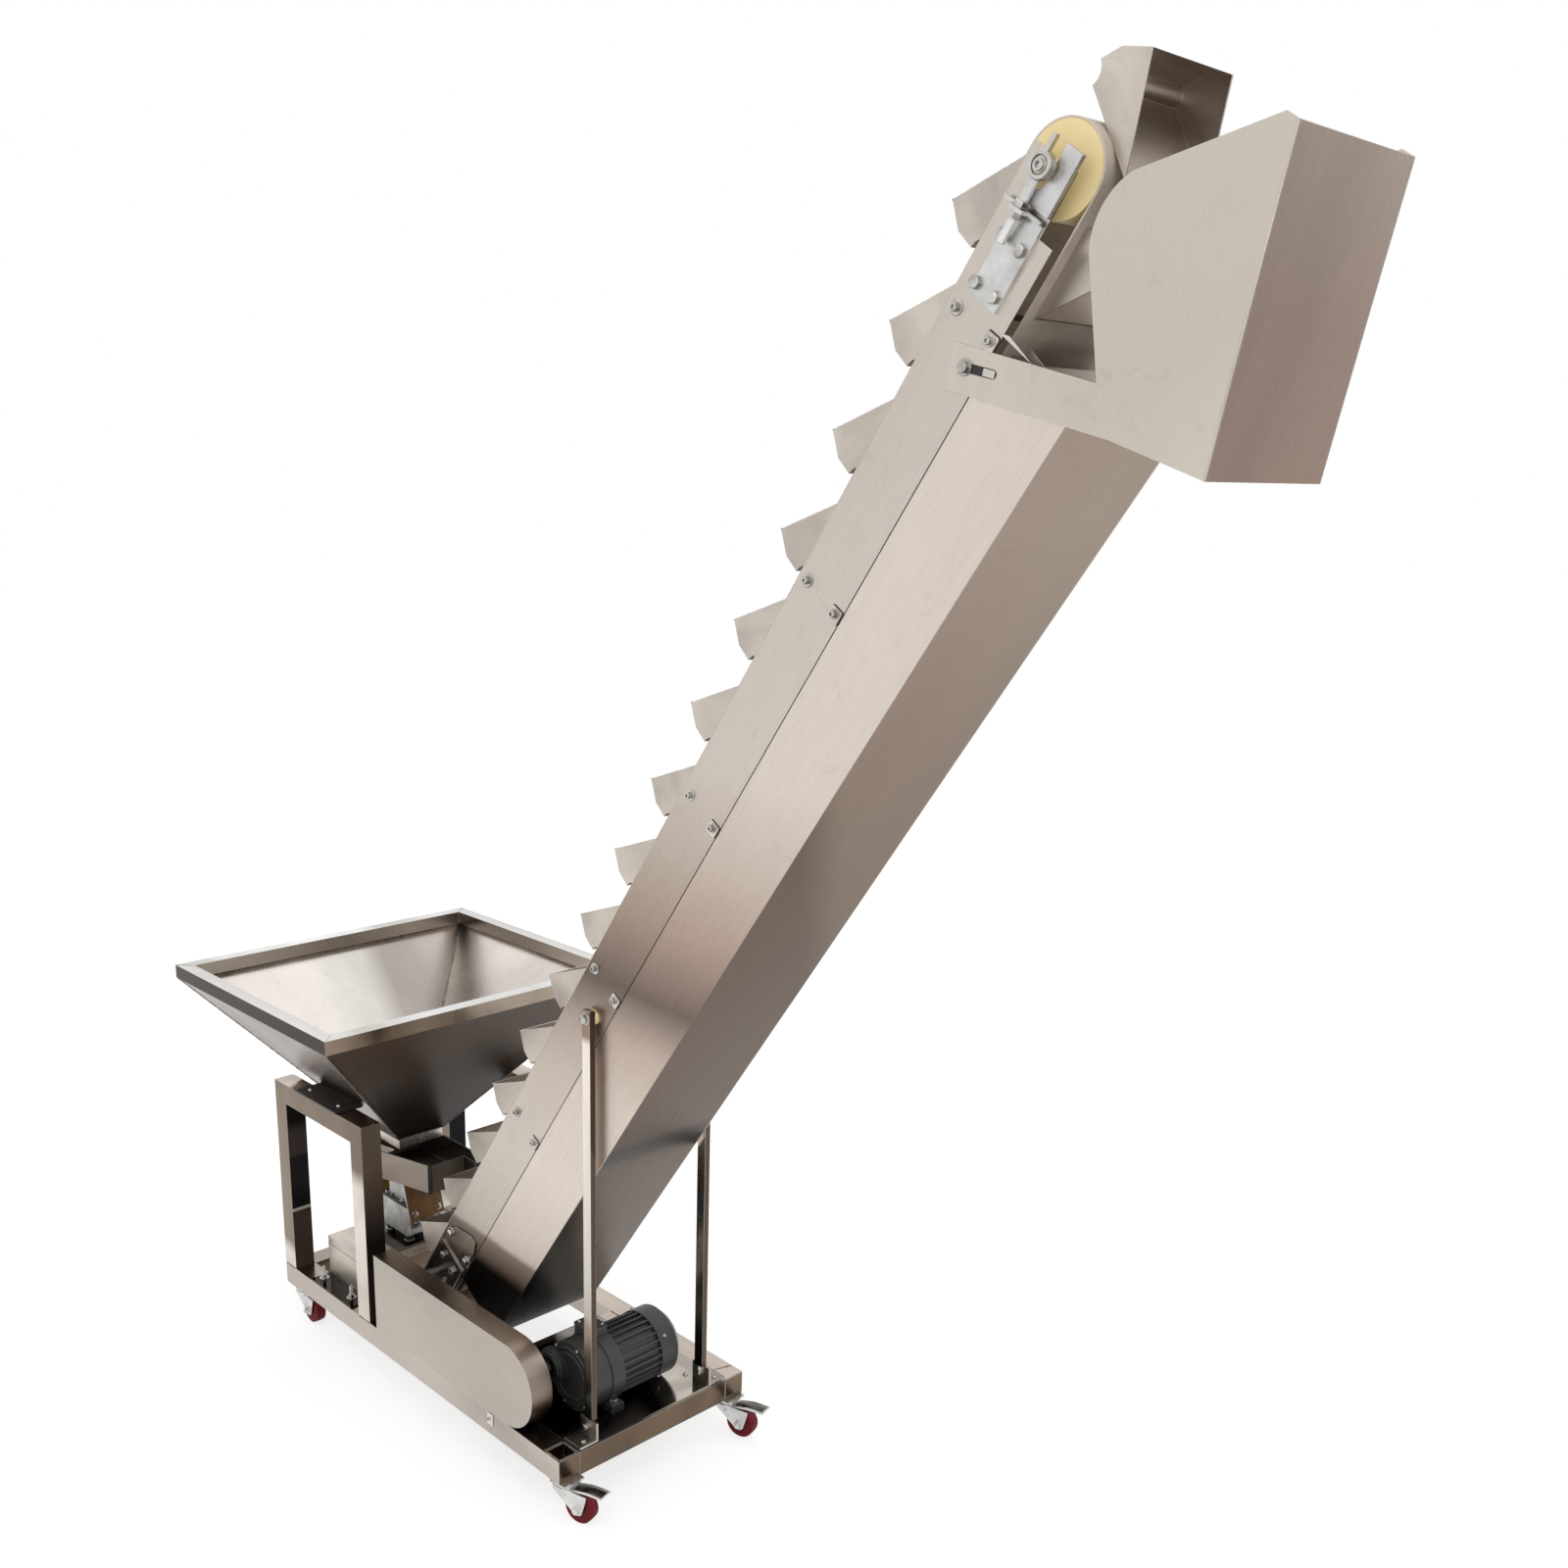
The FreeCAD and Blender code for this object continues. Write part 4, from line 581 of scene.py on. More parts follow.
    def slope_way(self, look, lean=0.6):
        """How far up the slope a point lies, in metres, leaning as the room's mirrored edges do."""
        across, _, upward = look.place_parts()
        foot = Vector((SLOPE_FOOT + BASE_END, BASE_TOP)) * 0.001
        rise = Vector((math.cos(SLOPE), math.sin(SLOPE))) - lean * Vector((math.sin(SLOPE), -math.cos(SLOPE)))
        wave = look.math("MULTIPLY", look.noise(2.2, detail=2.0, bend=0.4), 0.05)
        way = look.math("ADD", look.math("MULTIPLY", across, rise.x), look.math("MULTIPLY", upward, rise.y))
        return look.math("ADD", look.math("SUBTRACT", way, foot.dot(rise) + 0.025), wave)

    def channel_floor(self):
        """The underside carries a painted reflection of the dark ground up to a slanted edge, with one darker
        band across it and near black towards its lower end.
        """
        look = steel("channel_floor_sheet", (0.85, 0.8, 0.76), along="slope", cloud=0.1, cloud_scale=2.5,
                     rough=(0.2, 0.32), grain=0.04)
        up = self.slope_way(look, 0.0)
        low = look.ramp(up, ((0.3, (0.1, 0.072, 0.053)), (0.68, (0.1, 0.064, 0.04)),
                             (0.698, (0.03, 0.02, 0.013)),
                             (0.722, (0.03, 0.02, 0.013)), (0.74, (0.105, 0.067, 0.042)),
                             (1.4, (0.115, 0.075, 0.048))))
        high = look.ramp(up, ((1.2, (0.19, 0.14, 0.103)), (1.55, (0.27, 0.205, 0.16)),
                              (1.85, (0.36, 0.3, 0.25))))
        skewed = look.math("ADD", up, look.math("MULTIPLY", look.place_parts()[1], 1.55))
        tone = look.mix(look.span(skewed, 1.2, 1.36, smooth=True), low, high)
        look.tint(look.mix(look.span(skewed, 0.36, 0.42, smooth=True), (0.012, 0.008, 0.006), tone))

    def rim_tube(self):
        """The rim's tubes, in painted light and shade: dark where they face out, pale where they face the
        hopper's mouth.
        """
        look = steel("rim_tube", (0.038, 0.028, 0.021), (0.34, 0.28, 0.225), (0.06, 0.05, 0.04),
                     (0.84, 0.8, 0.75), (0.16, 0.3), cloud=0.3, cloud_scale=6.0)
        across, aside, _ = look.place_parts()
        centre = (BASE_END + HOPPER_MIDDLE) * 0.001
        long_way = look.math("ABSOLUTE", look.math("SUBTRACT", across, centre))
        inside = look.math("MULTIPLY", look.span(long_way, 0.256, 0.25),
                           look.span(look.math("ABSOLUTE", aside), 0.3, 0.294))
        inside = look.math("MULTIPLY", inside, look.span(look.normal_parts()[2], 0.5, 0.3))
        slow = look.noise(5.0, (0.4, 0.4, 1))
        # Painted light: pale where the tubes face the hopper's mouth.
        look.lay(inside, look.between(slow, (0.23, 0.195, 0.165), (0.42, 0.375, 0.335)))

    def stand_tube(self):
        """The stands' tubes, in painted light, shade and reflection: brown on the hopper's side and along the
        top, pale towards the guard, and dark bands with a pale line on the faces towards the motor end.
        """
        look = steel("stand_tube", (0.195, 0.15, 0.113), (0.05, 0.037, 0.03), (0.03, 0.025, 0.02),
                     (0.52, 0.45, 0.39), (0.1, 0.22), "z", 0.3)
        across, _, height = look.place_parts()
        normal = look.normal_parts()
        facing_side = look.span(look.math("ABSOLUTE", normal[1]), 0.6, 0.8)
        streak = look.math("MULTIPLY", look.noise(4.0, (1, 1, 0.5), bend=0.8), 0.09)
        up = look.math("ADD", height, streak)
        right_side = look.span(across, -0.66, -0.62)
        # Painted light: pale on the side faces, low on the right upright and near the foot on both.
        pale = look.math("MULTIPLY", right_side, look.span(up, 0.44, 0.4, smooth=True))
        pale = look.math("MAXIMUM", pale, look.span(up, 0.21, 0.17, smooth=True))
        tone = look.between(look.noise(8.0), (0.52, 0.475, 0.41), (0.72, 0.665, 0.6))
        look.lay(look.math("MULTIPLY", pale, facing_side), tone)
        # Painted shade and reflection: bands by height on the faces towards the motor end.
        right = look.ramp(up, ((0.2, (0.03, 0.024, 0.02)), (0.31, (0.01, 0.008, 0.007)),
                               (0.36, (0.05, 0.037, 0.03)),
                               (0.44, (0.12, 0.09, 0.068)), (0.5, (0.13, 0.1, 0.076))))
        left = look.ramp(height, ((0.105, (0.055, 0.038, 0.03)), (0.222, (0.05, 0.034, 0.027)),
                                  (0.2235, (0.5, 0.44, 0.38)), (0.2275, (0.5, 0.44, 0.38)),
                                  (0.229, (0.01, 0.01, 0.011)), (0.33, (0.013, 0.012, 0.013)),
                                  (0.336, (0.055, 0.042, 0.035)), (0.38, (0.065, 0.052, 0.046)),
                                  (0.4, (0.014, 0.012, 0.011))))
        look.dull(look.span(normal[0], 0.6, 0.8), look.mix(right_side, left, right))

    def post_tube(self):
        """The posts carry a painted reflection of the dark floor at their feet and the casing at their heads,
        and a painted highlight up their middle.
        """
        look = steel("post_tube", (0.78, 0.72, 0.66), (0.1, 0.075, 0.058), None, (0.4, 0.36, 0.32),
                     (0.12, 0.25), "z", 0.22, cloud_scale=4.0)
        mirrored = look.ramp(look.place_parts()[2], (
            (0.2, (0.1, 0.1, 0.1)), (0.29, (0.75, 0.72, 0.7)), (0.4, (0.95, 0.96, 0.96)),
            (0.6, (1.15, 1.15, 1.15)),
            (0.76, (1.2, 1.2, 1.2)), (0.772, (0.42, 0.34, 0.25)), (0.83, (0.45, 0.38, 0.3))))
        aside = look.span(look.math("ABSOLUTE", look.normal_parts()[1]), 0.6, 0.8)
        look.tint(look.mix(aside, WHITE, mirrored))

    def mirror_plate(self):
        """The floor plates carry a painted reflection of the dark machine in front and the bright room at the
        back.
        """
        look = steel("mirror_plate", (0.1, 0.085, 0.07), (0.2, 0.16, 0.13), None, (0.026, 0.022, 0.019),
                     (0.06, 0.14), cloud=0.6, edge=0.04)
        across, aside, _ = look.place_parts()
        way = look.math("ADD", aside, look.math("MULTIPLY", look.noise(6.0, bend=1.0), 0.06))
        back = look.math("MULTIPLY", look.span(way, 0.045, 0.085, smooth=True),
                         look.span(across, -0.35, -0.2))
        streak = look.span(look.noise(9.0, (1, 0.3, 1), bend=0.6), 0.4, 0.6)
        look.lay(back, look.mix(streak, (0.3, 0.27, 0.23), (0.56, 0.52, 0.46)))
        end = look.math("MULTIPLY", look.span(across, -0.035, -0.015), look.span(way, 0.04, 0.0, smooth=True))
        look.dull(end, look.mix(streak, (0.006, 0.005, 0.005), (0.04, 0.034, 0.03)))

    def hopper_sheet(self):
        """The hopper's walls: the outer sides in view carry a painted reflection of the dark room below, and
        the inner wall towards the belt has painted light and shade in bands.
        """
        look = steel("hopper_sheet", (0.7, 0.655, 0.605), (0.7, 0.655, 0.605), (0.12, 0.085, 0.067),
                     (0.76, 0.71, 0.66), (0.2, 0.34), "none", 0.16, cloud_scale=2.6)
        across, _, upward = look.normal_parts()
        _, aside, height = look.place_parts()
        low = look.span(upward, -0.15, -0.4)
        left = look.math("MULTIPLY", look.span(across, -0.3, -0.6), low)
        towards_belt = look.span(across, 0.3, 0.6)
        right = look.math("MULTIPLY", towards_belt, low)
        back = look.math("MULTIPLY", towards_belt, look.span(upward, 0.2, 0.4))
        # Painted light and shade: bands across the inner wall towards the belt.
        bands = look.ramp(aside, ((-0.3, (1.12, 1.12, 1.12)), (0.05, (1.15, 1.17, 1.18)),
                                  (0.1, (0.7, 0.68, 0.68)),
                                  (0.17, (0.66, 0.65, 0.66)), (0.3, (0.9, 0.88, 0.86))))
        look.tint(look.mix(back, WHITE, bands))
        # Painted reflection of the dark room below on the low outer sides.
        glow = look.noise(7.0, (1, 1, 0.6), bend=0.8)
        brown = look.between(glow, (0.1, 0.056, 0.036), (0.2, 0.13, 0.09), 0.5, 0.72)
        rising = look.ramp(look.math("ADD", height, look.math("MULTIPLY", glow, 0.06)),
                           ((0.42, (0.022, 0.015, 0.012)), (0.56, (0.045, 0.032, 0.024)),
                            (0.7, (0.09, 0.062, 0.043))))
        look.dull(look.math("MAXIMUM", left, right), look.mix(right, brown, rising))

    def dress(self):
        table = {
            "casing_sheet": ("casing_plates",), "channel_sheet": ("channel_sides",),
            "channel_floor_sheet": ("channel_floor",), "guard_sheet": ("chain_guard",),
            "hood_sheet": ("hood_sides", "hood_back", "hood_arms"), "hood_front_sheet": ("hood_front",),
            "hopper_sheet": ("hopper_end_walls", "hopper_side_walls", "hopper_collar"),
            "rim_tube": ("hopper_rim",),
            "rail_tube": ("base_rails", "base_cross_tubes"), "stand_tube": ("hopper_stands",),
            "post_tube": ("posts",), "mirror_plate": ("floor_plates",), "table_sheet": ("feeder_table",),
            "bearing_plate": ("foot_bearings",), "foot_bracket": ("post_feet",),
            "bucket_sheet": ("carry_buckets", "return_buckets", "turn_buckets"),
            "box_sheet": ("control_box",),
            "tray_sheet": ("feeder_tray",), "bright_steel": ("casing_ties", "motor_shaft"),
            "zinc_plate": ("takeup_plates", "takeup_sliders", "takeup_flanges", "takeup_screws",
                           "caster_mounts"),
            # The drive pulley's dark grey is painted shade.
            "rubber_black": ("feeder_feet",), "drive_pulley_painted_shade": ("drive_pulley",),
            "cast_block": ("vibrator_body", "spring_clamps"), "spring_laminate": ("leaf_springs",),
            "motor_paint": ("gearbox", "motor_foot", "motor_body", "fan_cover", "terminal_box"),
            "black_paint": ("stand_pads",), "nylon": ("head_pulley", "post_spacers"),
            "belt_surface": ("belt",),
        }
        given = {node: look for look, nodes in table.items() for node in nodes}
        for node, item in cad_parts.items():
            look = given.get(node, "tread_red" if node.startswith("caster_wheel") else "zinc_plate")
            for slot in item.material_slots:
                slot.material = materials[look]


class ELEVATOR_OT_stage(Making, bpy.types.Operator):
    """Sets up the floor, the room, the lamps and the camera"""

    bl_idname = "elevator.stage"
    bl_label = "Stage"

    def execute(self, context):
        self.floor()
        self.room()
        self.lamps()
        self.camera()
        context.scene.view_settings.view_transform = "Standard"
        return {"FINISHED"}

    def shader(self, tree, kind, colour=None, strength=None):
        node = tree.nodes.new(f"Shader{kind}")
        if colour:
            node.inputs["Color"].default_value = (*colour, 1)
        if strength is not None:
            node.inputs["Strength"].default_value = strength
        return node

    def split(self, tree, unseen, seen, output):
        """Joins what dull surfaces get with what the camera, metal and glass see."""
        mixed = self.shader(tree, "NodeMixShader")
        for socket, target in ((self.seen(tree), 0), (unseen.outputs[0], 1), (seen.outputs[0], 2)):
            tree.links.new(socket, mixed.inputs[target])
        tree.links.new(mixed.outputs[0], self.shader(tree, output).inputs[0])

    def floor(self):
        form = bmesh.new()
        bmesh.ops.create_grid(form, x_segments=8, y_segments=8, size=20.0)
        data = bpy.data.meshes.new("floor")
        form.to_mesh(data)
        form.free()
        material = bpy.data.materials.new("pale_floor")
        material.use_nodes = True
        tree = material.node_tree
        tree.nodes.clear()
        paper = self.shader(tree, "NodeBsdfDiffuse", (0.78, 0.77, 0.76))
        shadowed = self.shader(tree, "NodeBsdfDiffuse", (0.34, 0.34, 0.34))
        glow = self.shader(tree, "NodeEmission", strength=0.74)
        bright = self.shader(tree, "NodeAddShader")
        tree.links.new(shadowed.outputs[0], bright.inputs[0])
        tree.links.new(glow.outputs[0], bright.inputs[1])
        self.split(tree, paper, bright, "NodeOutputMaterial")
        data.materials.append(material)
        item = bpy.data.objects.new("floor", data)
        bpy.context.collection.objects.link(item)

    def seen(self, tree):
        """One for the rays by which the camera, metal and glass see the background."""
        path = tree.nodes.new("ShaderNodeLightPath")
        total = path.outputs["Is Camera Ray"]
        for name in ("Is Glossy Ray", "Is Transmission Ray"):
            step = tree.nodes.new("ShaderNodeMath")
            step.operation = "MAXIMUM"
            tree.links.new(total, step.inputs[0])
            tree.links.new(path.outputs[name], step.inputs[1])
            total = step.outputs[0]
        return total

    def room(self):
        world = bpy.data.worlds.new("studio_room")
        bpy.context.scene.world = world
        world.use_nodes = True
        tree = world.node_tree
        tree.nodes.clear()
        dull = self.shader(tree, "NodeBackground", (1, 0.98, 0.96), self.studio.room)
        white = self.shader(tree, "NodeBackground", WHITE, 1.0)
        self.split(tree, dull, white, "NodeOutputWorld")

    def lamps(self):
        aim = Vector((0.0, 0.0, 0.9))
        for name, place, size, power, tint in (
                ("key", (1.3, -3.6, 3.0), 2.4, self.studio.key, (1.0, 0.97, 0.94)),
                ("fill", (3.4, -1.2, 2.2), 2.0, self.studio.fill, (1.0, 0.96, 0.92)),
                ("top", (0.2, 0.6, 4.2), 2.6, self.studio.fill, WHITE)):
            lamp = bpy.data.lights.new(name, "AREA")
            lamp.shape = "SQUARE"
            lamp.size = size
            lamp.energy = power
            lamp.color = tint
            turned = (aim - Vector(place)).to_track_quat("-Z", "Y").to_matrix().to_4x4()
            self.put_in(name, lamp, Matrix.Translation(place) @ turned)

    def put_in(self, name, data, place):
        item = bpy.data.objects.new(name, data)
        bpy.context.collection.objects.link(item)
        item.matrix_world = place
        return item

    def camera(self):
        studio = self.studio
        flat = math.cos(studio.pitch)
        ahead = Vector((-math.sin(studio.yaw) * flat, math.cos(studio.yaw) * flat, math.sin(studio.pitch)))
        level = Vector((math.cos(studio.yaw), math.sin(studio.yaw), 0))
        right = level * math.cos(studio.roll) + level.cross(ahead) * math.sin(studio.roll)
        data = bpy.data.cameras.new("camera")
        data.lens = studio.lens
        data.sensor_width = 36
        data.shift_x = studio.shift_right
        data.shift_y = studio.shift_up
        turned = Matrix((right, right.cross(ahead), -ahead)).transposed().to_4x4()
        place = moved(1.6833, -1.4543, 1.5521)
        bpy.context.scene.camera = self.put_in("camera", data, place @ turned)


class ELEVATOR_OT_casing_screws(Making, bpy.types.Operator):
    """Adds the screws of the casing's upper edge, the seam as a strip of painted shade, and the seam's tabs
    with their screws and their painted shadows
    """

    bl_idname = "elevator.casing_screws"
    bl_label = "Casing Screws"

    def execute(self, context):
        sizes = self.fittings
        screws, tabs, painted_shade_gaps, hood = Form(), Form(), Form(), Form()
        for sign in (-1, 1):
            out = Vector((0, sign, 0))
            for number in range(sizes.screw_count):
                place = incline(sizes.screw_first - number * sizes.screw_pitch, sign * CASING_FACE, 13.8)
                socket_screw(screws, washer(screws, facing(place, out), 8.5), 4.6, 5.0)
                up = sizes.seam_first - number * sizes.seam_pitch
                # Painted shadow: a slightly larger black block under each tab shows along two of its edges.
                gap = aligned(incline(up - 0.7, sign * CASING_FACE, 72.4), out, UP_SLOPE)
                painted_shade_gaps.block(gap, 19.6, 19.6, 0.5, 3.0)
                tab = aligned(incline(up - 1.5, sign * (CASING_FACE + 0.3), 71.6), out, UP_SLOPE)
                tabs.block(tab, 18, 18, 1.5, 2.5)
                place = incline(up, sign * (CASING_FACE + 1.8), 71.6)
                socket_screw(screws, washer(screws, facing(place, out, number), 6.2), 4.4, 4.8)
            # Painted shade: a thin black strip along the seam.
            seam = incline(1066, sign * (CASING_FACE - 1.05), sizes.seam_depth + 0.7)
            painted_shade_gaps.block(aligned(seam, out, UP_SLOPE), 1718, 0.5, 0.3, 0, 0.05)
            self.arm_bolt(screws, painted_shade_gaps, tabs, sign, out)
            hood.bar([base(1780.2, sign * 109.9, 1849), base(1724.2, sign * 109.9, 1556.4)], 0.9, 6)
        screws.save("casing_screws", "plain_steel", "bright_steel")
        hood.save("hood_corners", "brushed_sheet", "tab_sheet", angle=60)
        tabs.save("seam_tabs", "brushed_sheet", "tab_sheet")
        painted_shade_gaps.save("seam_painted_shade_gaps", "black_plate", "black_paint")
        return {"FINISHED"}

    def arm_bolt(self, screws, painted_shade_gaps, tabs, sign, out):
        """The bolt of a hood arm at the near end of its slot, and the gusset under the arm."""
        ends = (incline(1943.9, 0, 60.8), incline(1957.8, 0, 95.9))
        middle = (ends[0] + ends[1]) / 2
        middle.y = sign * (CASING_FACE + 2)
        slot = aligned(middle, out, ends[1] - ends[0])
        # Painted shade: a black block in the arm's slot.
        painted_shade_gaps.block(slot, 46, 9.5, 0.25, 4.6, 0.02)
        tabs.block(slot @ moved(13, 0, 0.1), 15, 7.5, 0.3, 0.5, 0.02)
        hex_bolt(screws, facing(incline(1943.9, sign * (CASING_FACE + 2), 60.8), out, 0.4), 12.0, 5.0, 9.0)
        gusset = [incline(1992, 0, 75), incline(1990, 0, 130), incline(1996, 0, 88)]
        tabs.solid([[tabs.mesh.verts.new(Vector((point.x, sign * level, point.z))) for point in gusset]
                    for level in (104.6, 105.9)])


class ELEVATOR_OT_takeup_fittings(Making, bpy.types.Operator):
    """Adds threads, nuts and bolts of the take-ups at the head, and the bolts of the lower bearings"""

    bl_idname = "elevator.takeup_fittings"
    bl_label = "Take-up Fittings"

    def execute(self, context):
        bolts, threads, ends, rings = Form(), Form(), Form(), Form()
        for sign in (-1, 1):
            out = Vector((0, sign, 0))
            for up, down in ((2065.2, 22.6), (2065.3, 52.0), (2014.9, 22.9), (2015.6, 51.7)):
                bolts.hexagon(facing(incline(up, sign * 110, down), out, 0.3 * up), 12.5, 5.2)
            line = sign * 119.0
            for up, turn in ((2098.2, 0.3), (2087.4, 0.9)):
                bolts.hexagon(facing(incline(up, line, PULLEY_DEPTH), UP_SLOPE, turn), 13.0, 6.4)
            threads.turned(facing(incline(2061.8, line, PULLEY_DEPTH), UP_SLOPE), self.thread(), 18)
            eye = facing(incline(HEAD_PLACE, sign * 123.5, PULLEY_DEPTH), out)
            rings.loop(eye, [(12.9, -8.2), (13.3, -7.4), (13.3, 0.6), (12.6, 1.3), (9.4, 1.3), (8.9, 0.5),
                             (8.9, 0.1), (12.0, -0.4)], 32)
            ends.turned(facing(incline(HEAD_PLACE, sign * 124.0, PULLEY_DEPTH), out),
                        [(7.7, 0), (7.7, 1.0), (7.2, 1.5), (6.3, 1.5), (6.2, 0.9), (6.0, 0.9), (5.9, 2.6),
                         (5.4, 3.2), (3.2, 3.2), (3.0, 0.4), (0, 0.2)], 24)
            self.bearing_bolts(bolts, sign, out)
        bolts.save("takeup_bolts", "plain_steel", "bright_steel")
        threads.save("takeup_threads", "galvanized", "zinc_plate", angle=20)
        rings.save("takeup_rings", "galvanized", "bright_steel")
        ends.save("head_axle_ends", "cream_nylon", "bright_steel", "head_pulley")
        return {"FINISHED"}

    def thread(self):
        """The screw's profile: a thread below its nuts and a plain neck above."""
        profile = [(4.0, -0.8), (4.7, 0)]
        level = 0.0
        while level < 30:
            profile += [(5.0, level + 0.5), (4.7, level + 1.15)]
            level += 1.3
        return profile + [(4.7, 34.0), (5.2, 36.0), (5.2, 64.0)]

    def bearing_bolts(self, bolts, sign, out):
        for up, down in ((208, 27.6), (203.7, 59.3), (162.7, 56.0), (140.6, 22.5)):
            bolts.hexagon(facing(incline(up, sign * 112, down), out, up), 12.0, 5.0)
        for up, down in ((261.2, 16.5), (253.2, 72.6)):
            hex_bolt(bolts, facing(incline(up, sign * 109, down), out, up), 12.0, 5.0, 8.2)


class ELEVATOR_OT_bucket_bolts(Making, bpy.types.Operator):
    """Adds the two bolts of each bucket, and the fold along the top of its sides"""

    bl_idname = "elevator.bucket_bolts"
    bl_label = "Bucket Bolts"

    def execute(self, context):
        sizes = self.fittings
        bolts, hems = Form(), Form()
        face = PULLEY_DEPTH - 48.0
        for number in range(sizes.bucket_count):
            lip = sizes.bucket_first - number * sizes.bucket_pitch
            for side in (-38, 38):
                hex_bolt(bolts, facing(incline(lip + 50, side, face - 2.0), -DOWN_DEPTH), 9.0, 3.6, 8.0)
            hems.bar([incline(lip, side, face - 65.6) for side in (-72, -36, 0, 36, 72)], 1.15, 6)
            for side in (-71, 71):
                hems.bead(incline(lip + 1, side, face - 64.6), incline(lip + 86, side, face - 3), 0.9,
                          number * 2 + side)
        bolts.save("bucket_bolts", "plain_steel", "bright_steel")
        hems.save("bucket_hems", "bucket_steel", "bucket_sheet")
        return {"FINISHED"}


class ELEVATOR_OT_base_fittings(Making, bpy.types.Operator):
    """Adds the welds, studs and bolts of the base, the stands and the posts"""

    bl_idname = "elevator.base_fittings"
    bl_label = "Base Fittings"

    def execute(self, context):
        bolts, welds, lip, tab, dot = Form(), Form(), Form(), Form(), Form()
        self.bolts(bolts)
        self.post_nuts(bolts)
        bolts.save("base_bolts", "plain_steel", "bright_steel")
        self.frame_welds(welds)
        self.stand_welds(welds)
        welds.save("base_welds", "polished_steel", "weld_bead", angle=60)
        self.box_fittings()
        self.rail_caps()
        lip.block(Matrix.Translation(base(697, -152.1, 104.5)), 297, 3.4, 3.4)
        lip.save("plate_lip", "polished_steel", "mirror_plate")
        rail_tab = aligned(base(668, -RAIL_OUTSIDE, 93), NEAR, ALONG_BASE)
        tab.block(rail_tab, 15, 21, 1.6, 1.5)
        tab.save("rail_tab", "polished_steel", "tab_sheet")
        button_screw(dot, rail_tab @ moved(-2, 0, 1.6), 3.2)
        dot.save("rail_screw", "plain_steel", "bright_steel")
        return {"FINISHED"}

    def rail_caps(self):
        """The sheet caps that close the open ends of the rails."""
        caps = Form()
        for x, y, out in ((BASE_LENGTH, 174, 1), (0, 174, -1), (0, -174, -1)):
            caps.block(aligned(base(x, y, 85), out * ALONG_BASE, ACROSS_BASE), 38.6, 38.6, 1.2, 1.5)
        caps.save("rail_caps", "polished_steel", "rail_tube")

    def bolts(self, form):
        for x, y in ((106.6, -173.5), (204.0, -173.7)):
            stud(form, facing(base(x, y, PLATE_TOP), UP))
        for x in (98, 197):
            for side in (-1, 1):
                button_screw(form, facing(base(x, side * 175, PAD_TOP), UP), 4.6)
        for x in (-44, 44):
            hex_bolt(form, facing(base(750 + x, -42, 120), UP), 13.0, 6.0, 9.5)
        for x, y in ((560, -140), (700, -140), (560, 112), (700, 112), (796, 112), (796, -100)):
            button_screw(form, facing(base(x, y, PLATE_TOP), UP), 4.2)

    def post_nuts(self, form):
        for side in (-1, 1):
            out = Vector((0, side, 0))
            hex_bolt(form, facing(base(828, side * 121, 799.5), out), 13.0, 5.6, 9.0)
            hex_bolt(form, facing(base(824, side * 121, 125), out, 0.5), 10.0, 4.0, 5.6)
            hex_bolt(form, facing(base(824, side * 117, 125), -out, 0.2), 10.0, 4.0, 5.6)
            form.hexagon(facing(base(828, side * 114.5, 133.5), UP, 0.4), 10.0, 6.4)
            form.turned(facing(base(828, side * 114.5, 126), UP), [(2.4, 0), (3, 0.8), (3, 10)], 12)
            button_screw(form, facing(base(838, side * 138, 112), UP), 4.4)

    def frame_welds(self, welds):
        lines = []
        for start in (0, 95, 280, 548, BASE_LENGTH - TUBE):
            for side in (-1, 1):
                y = side * RAIL_INSIDE
                for x in (start, start + TUBE):
                    if 0 < x < BASE_LENGTH:
                        lines.append((base(x, y, 66.5), base(x, y, 104), 1.4))
                lines.append((base(start + 1, y, BASE_TOP), base(start + 39, y, BASE_TOP), 1.1))
        for start, end in (((808, -193), (808, -155)), ((812, 156), (823, 193))):
            lines.append((base(*start, BASE_TOP), base(*end, BASE_TOP), 1.2))
        hole = [base(x, y, 105.2) for x, y in ((811, -191), (845, -191), (845, -157), (811, -157))]
        lines += [(start, end, 1.5) for start, end in zip(hole, hole[1:] + hole[:1])]
        welds.beads(lines, 1)

    def stand_welds(self, welds):
        lines = []
        for side in (-1, 1):
            for x in (0, 264):
                for y in (RAIL_OUTSIDE, 156):
                    lines.append((base(x + 1, side * y, BASE_TOP), base(x + 37, side * y, BASE_TOP), 1.3))
            for x in (STAND_TUBE, 264):
                lines.append((base(x, side * 192, 440), base(x, side * 158, 440), 1.2))
        welds.beads(lines, 81)

    def box_fittings(self):
        """The lid line, the screws and the cable glands of the control box."""
        lid, screws, glands = Form(), Form(), Form()
        sides = ((-154, -1), (-92, 1))
        for y, out in sides:
            lid.block(aligned(base(156, y, 169), out * ACROSS_BASE, ALONG_BASE), 124, 0.9, 0.25, 0, 0.02)
        for x in (104, 208):
            for y, out in sides:
                button_screw(screws, facing(base(x, y, 176), out * ACROSS_BASE), 2.8)
        for x, out in ((94, -1), (218, 1)):
            lid.block(aligned(base(x, -123, 169), out * ALONG_BASE, ACROSS_BASE), 62, 0.9, 0.25, 0, 0.02)
        lid.save("control_lid_gap", "black_plate", "black_paint")
        screws.save("control_screws", "plain_steel", "bright_steel")
        for y in (-136, -110):
            place = facing(base(218, y, 130), ALONG_BASE)
            glands.hexagon(place, 17, 5.5)
            glands.turned(place @ moved(0, 0, 5.5),
                          [(7.4, 0), (7.4, 3), (7.0, 7.5), (5.2, 9.5), (4.2, 9.7), (4.0, 8.0), (0, 7.8)])
        glands.save("control_glands", "black_plate", "rubber_black")


